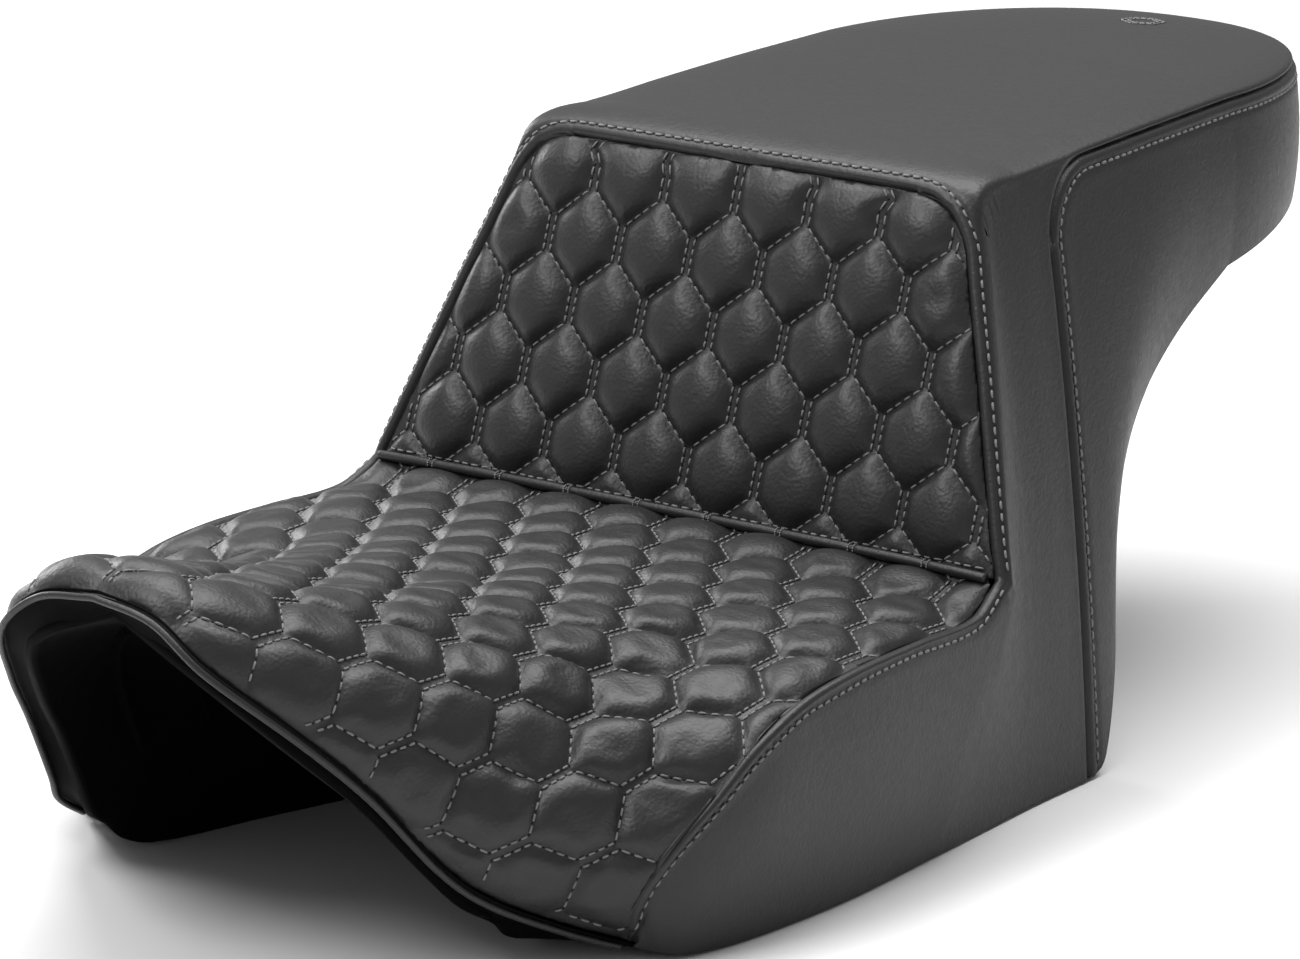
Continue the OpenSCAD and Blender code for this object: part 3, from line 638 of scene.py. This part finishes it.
class Panel:
    """A quilted panel: its flat pattern, and the way back from the pattern to the seat."""

    def __init__(self, us, spread, first_row, row_step, rows, columns, top_extra=0):
        self.first_row, self.row_step, self.rows, self.columns = first_row, row_step, rows, columns
        self.top_extra = top_extra
        self.low, self.high, self.spread, self.backward = min(us), max(us), spread, us[0] > us[-1]
        ts = np.linspace(0, 1, 22)
        x, y = flattened(us, spread(ts))
        x = np.abs(x)
        both_x = np.concatenate([-x[:, :0:-1], x], axis=1)
        both_y = np.concatenate([y[:, :0:-1], y], axis=1)
        both_t = np.concatenate([-ts[:0:-1], ts])
        flat = np.stack([both_x, both_y, 0 * both_x], axis=-1).reshape(-1, 3)
        self.where = stack(us[:, None], both_t[None, :], 0).reshape(-1, 3)
        quads = grid_faces(*both_x.shape)
        self.triangles = np.concatenate([quads[:, [0, 1, 2]], quads[:, [0, 2, 3]]])
        self.flat = [Vector(p) for p in flat]
        self.tree = BVHTree.FromPolygons(self.flat, self.triangles.tolist())

    def back(self, x, y):
        """u and g of flat points, and whether each lies inside; outside ones go to the nearest edge."""
        found, inside = [], []
        for p in zip(x.ravel(), y.ravel()):
            at, _, face, away = self.tree.find_nearest((p[0], p[1], 0))
            a, b, c = self.triangles[face]
            target = [Vector(self.where[k]) for k in (a, b, c)]
            found.append(barycentric_transform(at, self.flat[a], self.flat[b], self.flat[c], *target)[:2])
            inside.append(away < 0.02)
        u, t = np.array(found).reshape(*x.shape, 2)[..., 0], np.array(found).reshape(*x.shape, 2)[..., 1]
        return u, self.spread(t), np.array(inside).reshape(x.shape)

    def normals(self, u, g, step=0.004):
        """Directions out of the seat at (u, g), worked out without leaving the panel."""
        behind, ahead = np.clip(u - step, self.low, self.high), np.clip(u + step, self.low, self.high)
        left, right = np.clip(g - step, -1, 1), np.clip(g + step, -1, 1)
        along = unit(seat_point(ahead, g) - seat_point(behind, g))
        return unit(np.cross(unit(seat_point(u, right) - seat_point(u, left)), along))

    def base(self, row):
        """Height of the lower end of a row's double lines. The last row may be a little higher up."""
        return self.first_row + self.row_step * row + (self.top_extra if row >= self.rows - 1 else 0)

    def from_twin(self, row, x):
        """Distance across to the nearest double stitch line of a row of hexagons."""
        reach = HEX_PITCH / 2
        return np.abs((x / reach - row + 1) % 2 - 1) * reach

    def zigzag(self, row, x):
        """Height of the zigzag line under a row of hexagons: it rises towards that row's double lines."""
        reach = HEX_PITCH / 2
        rise = np.clip((reach - TWIN_ROWS - self.from_twin(row, x)) / (reach - 2 * TWIN_ROWS), 0, 1)
        return self.base(row) - (self.row_step - HEX_SIDE) * (1 - rise)

    def pattern(self):
        """Grid of flat points whose lines follow the stitching, with the sewn points marked."""
        reach = HEX_PITCH / 2
        local = np.append(0, mix(np.linspace(TWIN_ROWS, reach - TWIN_ROWS, QUILT_COLS),
                                 eased(TWIN_ROWS, reach - TWIN_ROWS, QUILT_COLS), 0.5))
        x = np.append(np.concatenate([k * reach + local for k in range(-self.columns, self.columns)]),
                      self.columns * reach)
        steps = mix(np.linspace(0, 1, QUILT_ROWS), eased(0, 1, QUILT_ROWS), 0.5)[:-1]
        heights, sewn = [], []
        for row in range(-1, self.rows):
            for f in steps:
                heights.append(mix(self.zigzag(row, x), self.zigzag(row + 1, x), f))
                sewn.append((self.from_twin(row, x) < TWIN_ROWS + 0.01) | (f == 0))
        return np.broadcast_to(x, (len(heights), len(x))), np.array(heights), np.array(sewn)

    def puff(self, x, y):
        """Height of the padding between the stitch lines, 0 to 1."""
        reach = HEX_PITCH / 2
        slant = math.hypot(reach - 2 * TWIN_ROWS, self.row_step - HEX_SIDE) / (reach - 2 * TWIN_ROWS)
        full = np.zeros_like(y)
        for row in range(-1, self.rows):
            wide = self.from_twin(row, x) - TWIN_ROWS
            low = (y - self.zigzag(row, x)) / slant
            high = (self.zigzag(row + 1, x) - y) / slant
            full += np.clip(domed(wide) * domed(low) * domed(high), 0, None)
        return full

    def stitch_lines(self):
        """The sewing paths: each runs up one side of a half-pitch strip, then slants to the other."""
        reach = HEX_PITCH / 2
        for strip in range(-self.columns, self.columns):
            path = []
            for row in range(-1, self.rows):
                x = strip * reach + TWIN_ROWS if (strip - row) % 2 == 0 else (strip + 1) * reach - TWIN_ROWS
                path += [(x, self.base(row)), (x, self.base(row + 1) - self.row_step + HEX_SIDE)]
            yield np.array(path)


def domed(distance):
    return 1 - np.exp(-np.clip(distance, 0, None) / DOME_WIDTH)


def inflate(obj, held):
    """Blows a sewn sheet up between its held points with Cloth, and caps how far a point moves."""
    group = obj.vertex_groups.new(name="sewn")
    group.add([int(k) for k in np.flatnonzero(held)], 1.0, "REPLACE")
    cloth = obj.modifiers.new("cloth", "CLOTH").settings
    cloth.quality = 6
    cloth.mass = 0.3
    cloth.tension_stiffness = cloth.compression_stiffness = 12
    cloth.shear_stiffness = 8
    cloth.bending_stiffness = 1.5
    cloth.shrink_min = -0.012
    cloth.use_pressure = True
    cloth.uniform_pressure_force = CLOTH_PRESSURE
    cloth.effector_weights.gravity = 0
    cloth.vertex_group_mass = "sewn"
    start = np.zeros(len(obj.data.vertices) * 3)
    obj.data.vertices.foreach_get("co", start)
    scene = bpy.context.scene
    for number in range(1, CLOTH_FRAMES + 1):
        scene.frame_set(number)
    graph = bpy.context.evaluated_depsgraph_get()
    blown = obj.evaluated_get(graph).data
    end = np.zeros_like(start)
    blown.vertices.foreach_get("co", end)
    scene.frame_set(1)
    obj.modifiers.clear()
    obj.vertex_groups.clear()
    start, move = start.reshape(-1, 3), (end - start).reshape(-1, 3)
    far = np.linalg.norm(move, axis=1, keepdims=True)
    move *= np.minimum(1, CLOTH_CAP / 1000 / np.maximum(far, 1e-9))
    obj.data.vertices.foreach_set("co", (start + move).ravel())
    obj.data.update()


def quilted(name, panel, puff, seams, replaced):
    """A quilted cover: its pattern mapped back to the seat, padded, sunk at the seams and swelled."""
    x, y, sewn = panel.pattern()
    u, g, inside = panel.back(x, y)
    points = seat_point(u, g)
    near = distance_to(points, *seams)
    sunk = GROOVE * np.interp(distance_to(points, WELT_SEAM), [0, 4], [0.2, 1])
    full = puff * np.interp(distance_to(points, ARCH_EDGE), [0, 35], [0.25, 1])
    full *= np.interp(u, [0, 0.1, 0.32], [0.25, 0.45, 1])
    lift = (full + sunk) * panel.puff(x, y) * domed(near) - sunk + rolled(near, HIDDEN_ROLL)
    raised = points + panel.normals(u, g) * lift[..., None]
    cells = inside[:-1, :-1] | inside[1:, :-1] | inside[:-1, 1:] | inside[1:, 1:]
    faces = grid_faces(*x.shape, cells)
    if panel.backward:
        faces = faces[:, ::-1]
    used = np.unique(faces)
    renumber = np.zeros(x.size, int)
    renumber[used] = np.arange(len(used))
    obj = new_piece(name, raised.reshape(-1, 3)[used], renumber[faces], QUILT_VINYL, "quilted_vinyl")
    held = (sewn | ~inside | (near < 4)).ravel()[used]
    inflate(obj, held)
    tidy_mesh(obj)
    apply_modifier(obj, "SUBSURF", levels=1, render_levels=1)
    thicken(obj)
    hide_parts(replaced)
    return obj


HIDDEN_ROLL = [[0, 0.4], [1.2, 0.1], [3, 0], [400, 0]]


def even(t):
    return t


def bunched(t):
    """Columns evenly apart across the lumbar panel, whose section is nearly a flat superellipse."""
    return np.sign(t) * np.arcsin(0.83 * np.abs(t)**3.25) / math.asin(0.83)


RIDER = Panel(np.linspace(0.9995, 0, 34), even, 3.25, 31.5, 14, 13)
LUMBAR = Panel(np.linspace(1, 2, 16), bunched, 13.1, 30.5, 6, 9, 6)
RIDER_EDGES = (SIDE_SEAMS, WELT_SEAM, ARCH_EDGE)
LUMBAR_EDGES = (LUMBAR_SEAMS, TOP_SEAM, WELT_SEAM)
rider_quilt = quilted("rider_quilt", RIDER, RIDER_PUFF, RIDER_EDGES, "rider_cover")
lumbar_quilt = quilted("lumbar_quilt", LUMBAR, LUMBAR_PUFF, LUMBAR_EDGES, "lumbar_cover")
for cover in (main_cover, side_boxing):
    thicken(cover)


# ---- Thread
def stitches(name, pairs, ups, slot, radius=THREAD_R, gap=STITCH_GAP, holes=True):
    """One mesh of separate stitches, each from a pair of points on a cover, diving into needle holes.
    rings gives the thread's (place along it, thickness, rise)."""
    sides, rings = 6, ((0, 0.35, -0.5), (0.14, 0.9, 0), (0.5, 1, 0.12), (0.86, 0.9, 0), (1, 0.35, -0.5))
    p, q = pairs[:, 0], pairs[:, 1]
    along = unit(q - p)
    side = unit(np.cross(along, ups))
    a = np.linspace(0, 2 * math.pi, sides, endpoint=False)
    spots = []
    for t, size, rise in rings:
        centre = mix(p, q, gap / 2 + (1 - gap) * t) + ups * (rise + 0.5) * radius
        spots += [centre + size * radius * (math.cos(k) * side + math.sin(k) * ups) for k in a]
    hole = [p + ups * 0.32]
    hole += [p + HOLE_R * (math.cos(k) * along + math.sin(k) * side) + ups * 0.04 for k in a]
    hole += [p - ups * HOLE_DEPTH]
    verts = np.stack(spots + hole if holes else spots, axis=1)
    walls = []
    for low in range(0, (len(rings) - 1) * sides, sides):
        for k in range(sides):
            m = (k + 1) % sides
            walls.append([low + k, low + m, low + sides + m, low + sides + k])
    last, top = (len(rings) - 1) * sides, len(rings) * sides
    shape = walls + [list(range(sides))[::-1], [last + k for k in range(sides)]]
    dark = len(shape)
    for k in range(sides if holes else 0):
        m = (k + 1) % sides
        shape += [[top, top + 1 + k, top + 1 + m], [top + 1 + sides, top + 1 + m, top + 1 + k]]
    size = verts.shape[1]
    faces = [[f + n * size for f in face] for n in range(len(p)) for face in shape]
    obj = new_piece(name, verts.reshape(-1, 3), faces, THREAD, slot)
    # The hole faces get the near-black hole finish: painted shade in the needle holes.
    obj.data.materials.append(HOLE_SHADE)
    obj.data.polygons.foreach_set("material_index", [int(k >= dark) for k in range(len(shape))] * len(p))
    return obj


def laid(points, ups, *trees):
    """Drops points on the outermost of some covers."""
    out = []
    for p, up in zip(points, ups):
        hits = [t.ray_cast(Vector(p + up * 9), Vector(-up), 18) for t in trees]
        hits = [h for h in hits if h[0] is not None]
        out.append(np.array(min(hits, key=lambda h: h[3])[0]) if hits else p)
    return np.array(out)


def quilt_stitches(name, panel, obj, seams):
    tree = surface_of(obj)
    pairs = np.concatenate([pieces_of(p, q, SIDE_STITCHES) for path in panel.stitch_lines()
                            for p, q in zip(path[:-1], path[1:])])
    u, g, inside = panel.back(pairs[..., 0], pairs[..., 1])
    spots, ups = seat_point(u, g), panel.normals(u, g)
    middles = spots.mean(axis=1)
    keep = inside.any(axis=1) & (distance_to(middles, *seams) > EDGE_CLEARANCE)
    keep &= distance_to(middles, ARCH_EDGE) > ARCH_CLEARANCE
    spots, ups = spots[keep], ups[keep]
    ends = [laid(spots[:, k], ups[:, k], tree) for k in (0, 1)]
    return stitches(name, np.stack(ends, axis=1), unit(ups.sum(axis=1)), "quilted_vinyl")


def pieces_of(p, q, count):
    """Pairs of points that divide the way from p to q into equal stitches."""
    at = np.linspace(0, 1, count + 1)[:, None]
    run = mix(p, q, at)
    return np.stack([run[:-1], run[1:]], axis=1)


def topstitch(name, path, trees, slot, radius=TOPSTITCH_R):
    """A row of stitches along a line of seat points and their outward directions."""
    run = resampled(path, TOPSTITCH_PITCH)
    ends = laid(run[:, :3], unit(run[:, 3:]), *trees)
    pairs = np.stack([ends[:-1], ends[1:]], axis=1)
    return stitches(name, pairs, unit(run[:-1, 3:]), slot, radius)


def beside(seam, normals, towards, away=TOPSTITCH_AWAY):
    """The line a set distance from a seam, on the side that points towards a direction."""
    aside = unit(np.cross(unit(np.gradient(seam, axis=0)), normals))
    aside *= np.sign((aside * towards).sum(axis=1, keepdims=True))
    return np.concatenate([seam + aside * away, normals], axis=1)


def flank_normals(u, g):
    """Directions out of the left flank."""
    step = 0.01
    along = unit(seat_point(u + step, g + step) - seat_point(u - step, g + step))
    return unit(np.cross(unit(seat_point(u, g + 2 * step) - seat_point(u, g)), along))


quilt_stitches("rider_quilt_thread", RIDER, rider_quilt, RIDER_EDGES)
quilt_stitches("lumbar_quilt_thread", LUMBAR, lumbar_quilt, LUMBAR_EDGES)
cover_trees = [surface_of(main_cover), surface_of(side_boxing)]

# The rows beside the rider's seams start a little up the nose, and a straight lead takes them to its corner.
t = np.linspace(0, 1, 300)
rider_u, one = 0.05 + 0.947 * t, np.ones(300)
rider_row = beside(seat_point(rider_u, one), flank_normals(np.minimum(rider_u, 0.985), one), [0.4, 0, -1])
lead = unit(rider_row[0, :3] - rider_row[4, :3])
rider_row = np.concatenate([[np.append(rider_row[0, :3] + lead * 11, rider_row[0, 3:])], rider_row])
box_u, box_g = np.append(3 + 0 * t[:-1], 3 + 1.99 * t), np.append(1.97 - 0.97 * t[:-1], 1 + 0 * t)
box_row = beside(seat_point(box_u, box_g), flank_normals(np.maximum(box_u, 3.011), np.minimum(box_g, 1.97)),
                 [0, 0.6, -0.8])
mirror = [-1, 1, 1, -1, 1, 1]
topstitch("rider_seam_thread_left", rider_row, cover_trees[:1], "plain_vinyl")
topstitch("rider_seam_thread_right", rider_row * mirror, cover_trees[:1], "plain_vinyl")
round_rear = np.concatenate([box_row, (box_row * mirror)[::-1]])
topstitch("boxing_thread", round_rear, cover_trees[1:], "plain_vinyl")

# One row goes up the lumbar panel's side, across its top and down again. Another runs above the welt.
lumbar_u = np.concatenate([1.012 + 0.988 * t[:-1], 2 + 0 * t, (1.012 + 0.988 * t[:-1])[::-1]])
lumbar_g = np.concatenate([-one[:-1], bunched(2 * t - 1), one[:-1]])
panel_seam = seat_point(lumbar_u, lumbar_g)
panel_row = beside(panel_seam, LUMBAR.normals(lumbar_u, lumbar_g), panel_seam - [0, 22, 180])
topstitch("lumbar_seam_thread", panel_row, cover_trees[:1], "plain_vinyl")
base_t = np.linspace(-0.97, 0.97, 300)
base_u = np.full(300, 1.0)
base_g = bunched(base_t)
base_row = beside(seat_point(base_u, base_g), LUMBAR.normals(base_u, base_g), [0, 0, 1], 3.6)
topstitch("lumbar_base_thread", base_row, [surface_of(lumbar_quilt)], "quilted_vinyl", 0.5)


# ---- A small stitched hexagon on the pillion
def on_top(x, y):
    hit = cover_trees[0].ray_cast(Vector((x, y, 400)), Vector((0, 0, -1)))
    return np.array(hit[0])


for ring, size in enumerate(MOTIF_SIZES):
    corners = [(size * math.sin(math.radians(60 * k)), MOTIF_Y + size * math.cos(math.radians(60 * k)))
               for k in range(7)]
    pairs = np.concatenate([pieces_of(np.array(p), np.array(q), 3) for p, q in zip(corners, corners[1:])])
    pairs = np.array([[on_top(*p), on_top(*q)] for p, q in pairs])
    stitches(f"hexagon_motif_{ring}", pairs, np.tile([0.0, 0, 1], (len(pairs), 1)), "plain_vinyl", 0.42, 0.1)


# ---- Return round the arch, and the hem folded under the pan's rim
def strip(name, rows, material, slot, thickness, offset=-1):
    """A sheet through rows of points, made a closed shell."""
    grid = np.stack(rows, axis=0)
    obj = new_piece(name, grid.reshape(-1, 3), grid_faces(*grid.shape[:2]), material, slot)
    tidy_mesh(obj)
    thicken(obj, thickness, offset)
    return obj


t = np.linspace(-1, 1, 260)
arch = seat_point(0 * t, t)
arch_in = unit(seat_point(0 * t + 0.03, t) - arch)
pan_lip = pan_point(0 * t, t) + [0, 1.5, 1.5]
rows = [arch + arch_in * 1.2 - [0, 0, 0.5]]
rows += [mix(rows[0], pan_lip, f) + [0, 2.5 * math.sin(math.pi * f), 0] for f in np.linspace(0.12, 1, 9)]
# The vinyl return round the arch takes the pan's near-black finish: painted shade inside the arch.
strip("arch_return", rows, PAN_BLACK_AND_SHADE, "pan_plastic", 1.0)

for sign, side in ((1, "left"), (-1, "right")):
    u = np.linspace(0.03, 4.98, 420)
    edge, rim = hem(u) * [sign, 1, 1], pan_point(u, sign * 2)
    rows = [edge + [0, 0, 0.8], edge, mix(edge, rim, 0.3) - [0, 0, 0.25], mix(edge, rim, 0.8)]
    # The hem lies close to the pan where the seat stands on it, and proud of it higher up.
    folded = np.stack([pan_point(u, sign * q) for q in (1.94, 1.88, 1.8, 1.7, 1.62, 1.56, 1.52)])
    outward = grid_normals(folded)
    outward *= np.sign((outward * [0, 0.5, -1]).sum(axis=-1, keepdims=True))
    rows += list(folded + outward * np.interp(folded[..., 2], [0, 4], [0.12, 0.7])[..., None])
    strip(f"hem_fold_{side}", rows[::sign], PLAIN_VINYL, "plain_vinyl", 0.5, 1)

# ---- The moulded pan, ribbed underneath
pan_us = joined(np.linspace(0, 1, 60), np.linspace(1, 2, 34), np.linspace(2, 3, 26),
                eased(3, 4, 40), np.linspace(4, 5, 36))
pan_half = joined(eased(0, 1, 34), np.linspace(1, 2, 14))
pan_qs = joined(-pan_half[::-1], pan_half)
# The pan's finish is darker than its black plastic: partly painted shade under the seat.
pan = strip("base_pan_moulded", pan_point(pan_us[:, None], pan_qs[None, :]), PAN_BLACK_AND_SHADE, "pan_plastic", PAN_WALL, 1)
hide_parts("base_pan")


def rib(name, us, qs, depth, width=1.2):
    """A thin fin standing out under the pan along a line of (u, q), tapered like a moulded draft."""
    top = pan_point(us, qs) + [0, 0, 1]
    step = 0.004
    across = unit(pan_point(us, qs + step) - pan_point(us, qs - step))
    along = unit(pan_point(us + step, qs) - pan_point(us - step, qs))
    down = -unit(np.cross(across, along))
    side = unit(np.cross(unit(np.gradient(top, axis=0)), down))
    ends = np.minimum(1, np.minimum(np.arange(len(us)), np.arange(len(us))[::-1]) / 3 + 0.35)[:, None]
    low = top + down * (depth + 1) * ends
    loop = [top + side * width, low + side * width * 0.55, low - side * width * 0.55, top - side * width]
    points = np.stack(loop, axis=1).reshape(-1, 3)
    faces = []
    for i in range(len(us) - 1):
        for k in range(4):
            m = (k + 1) % 4
            faces.append([4 * i + k, 4 * i + m, 4 * i + 4 + m, 4 * i + 4 + k])
    faces += [[3, 2, 1, 0], [4 * len(us) - 4 + k for k in range(4)]]
    return new_piece(name, points, faces, PAN_BLACK_AND_SHADE, "pan_plastic", smooth=False)


for k, u in enumerate((0.2, 0.36, 0.5, 1.3, 1.75, 2.2, 2.65, 3.35, 4.3)):
    rib(f"pan_rib_across_{k}", np.full(50, u), np.linspace(-0.86, 0.86, 50), RIB_DEPTH)
for k, q in enumerate((-0.42, 0.42)):
    rib(f"pan_rib_along_{k}", np.linspace(1.1, 3.35, 90), np.full(90, q), RIB_DEPTH)

# ---- Trim
welt_t = np.linspace(-0.99, 0.99, 420)
welt_x = WELT_HALF * welt_t
to_pinch = np.abs((welt_x / HEX_PITCH + 1) % 1 - 0.5) * HEX_PITCH
welt_path = welt_line(welt_t) + [0, -1.5, 1.5]
welt_radii = WELT_R - PINCH_DEPTH * np.exp(-(to_pinch / PINCH_WIDTH)**2)
welt = sweep("lumbar_welt_sewn", welt_path, welt_radii, TRIM_VINYL, "trim_vinyl")
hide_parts("lumbar_welt")
ties = []
for k in range(-5, 5):
    for side in (-TIE_APART, TIE_APART):
        x = (k + 0.5) * HEX_PITCH + side
        turn = np.radians(np.linspace(205, 20, 7))
        round_welt = stack(0, TIE_TURN_R * np.cos(turn), TIE_TURN_R * np.sin(turn))
        ring = welt_line(x / WELT_HALF) + [0, -1.5, 1.5] + round_welt
        ties += [np.stack([p, q]) for p, q in zip(ring[:-1], ring[1:])]
ties = np.array([tie for tie in ties if abs(tie[0][0]) < 160])
tie_out = unit(ties.mean(axis=1) - stack(ties[:, 0, 0], -1.5, 109.5))
stitches("welt_ties", ties, tie_out, "trim_vinyl", TIE_R, 0.0, holes=False)
nose_t = np.linspace(-0.98, 0.98, 240)
nose = seat_point(np.zeros(240), nose_t)
nose_path = nose + unit(nose - seat_point(np.full(240, 0.004), nose_t)) * 2.6 - [0, 0, 0.6]
piping = sweep("nose_piping_sewn", nose_path, PIPING_R, TRIM_VINYL, "trim_vinyl")
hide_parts("nose_piping")


# ---- Soft cores
def core(node_name, name, material, voxel, inset):
    """A foam or gel core from the space its CAD solid holds, softened and drawn in a little."""
    obj = bpy.data.objects.new(name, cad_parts[node_name].data.copy())
    bpy.context.scene.collection.objects.link(obj)
    obj.data.materials.clear()
    obj.data.materials.append(material)
    tidy_mesh(obj, 0.0001)
    apply_modifier(obj, "REMESH", mode="VOXEL", voxel_size=voxel, use_smooth_shade=True)
    apply_modifier(obj, "DISPLACE", strength=-inset, mid_level=0)
    apply_modifier(obj, "SMOOTH", factor=0.5, iterations=3)
    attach(obj, "seat")
    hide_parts(node_name)


for foam in ("rider_foam", "lumbar_foam", "pillion_foam"):
    core(foam, f"{foam}_core", FOAM, 0.005, 0.0045)
for gel in ("rider_gel_pad", "pillion_gel_pad"):
    core(gel, f"{gel}_core", GEL, 0.0025, 0.0008)


def sew_foam(name, first, last, width, replaced):
    """The thin foam sheet quilted to the back of a panel."""
    us, gs = np.linspace(first, last, 70)[:, None], np.linspace(-width, width, 90)[None, :]
    points = seat_point(us, gs)
    sheet = points - grid_normals(points) * SEW_FOAM_DEPTH
    obj = strip(name, sheet, SEW_FOAM, "sew_foam", 3)
    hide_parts(replaced)


sew_foam("rider_sew_foam", 0.08, 0.92, 0.84, "rider_backing")
sew_foam("lumbar_sew_foam", 1.16, 1.85, 0.84, "lumbar_backing")

# ---- Studio
floor_mesh = bpy.data.meshes.new("floor")
floor_mesh.from_pydata([(-30, -30, 0), (30, -30, 0), (30, 30, 0), (-30, 30, 0)], [], [(0, 1, 2, 3)])
floor = bpy.data.objects.new("floor", floor_mesh)
bpy.context.scene.collection.objects.link(floor)
floor_mesh.materials.append(solid("pale_floor", (0.80, 0.80, 0.80), (0.82, 0.82, 0.82), (0.7, 0.8), 2))

world = bpy.data.worlds.new("studio")
world.use_nodes = True
world.node_tree.nodes["Background"].inputs["Color"].default_value = (1, 1, 1, 1)
world.node_tree.nodes["Background"].inputs["Strength"].default_value = 0.36
bpy.context.scene.world = world
bpy.context.scene.view_settings.view_transform = "Standard"


def area_light(name, place, target, size, power):
    light = bpy.data.lights.new(name, "AREA")
    light.shape = "RECTANGLE"
    light.size, light.size_y = size
    light.energy = power
    obj = bpy.data.objects.new(name, light)
    obj.location = place
    obj.rotation_euler = (Vector(target) - Vector(place)).to_track_quat("-Z", "Y").to_euler()
    bpy.context.scene.collection.objects.link(obj)


area_light("top", (-0.3, 0.4, 2.1), (0, 0, 0.15), (2.2, 1.6), 72)
area_light("left", (-2.3, 0.5, 0.8), (0, 0, 0.15), (1.2, 0.7), 26)
area_light("front", (-0.6, -1.6, 2.0), (0, -0.1, 0.15), (1.0, 0.8), 34)

camera_data = bpy.data.cameras.new("camera")
camera_data.sensor_width = 36
camera_data.lens = 187.5
camera = bpy.data.objects.new("camera", camera_data)
right, up, back = (0.7986, 0.6018, 0), (-0.1608, 0.2134, 0.9636), (0.5799, -0.7696, 0.2672)
camera.matrix_world = Matrix((right, up, back)).transposed().to_4x4()
camera.location = (1.7284, -2.3438, 0.9293)
bpy.context.scene.collection.objects.link(camera)
bpy.context.scene.camera = camera
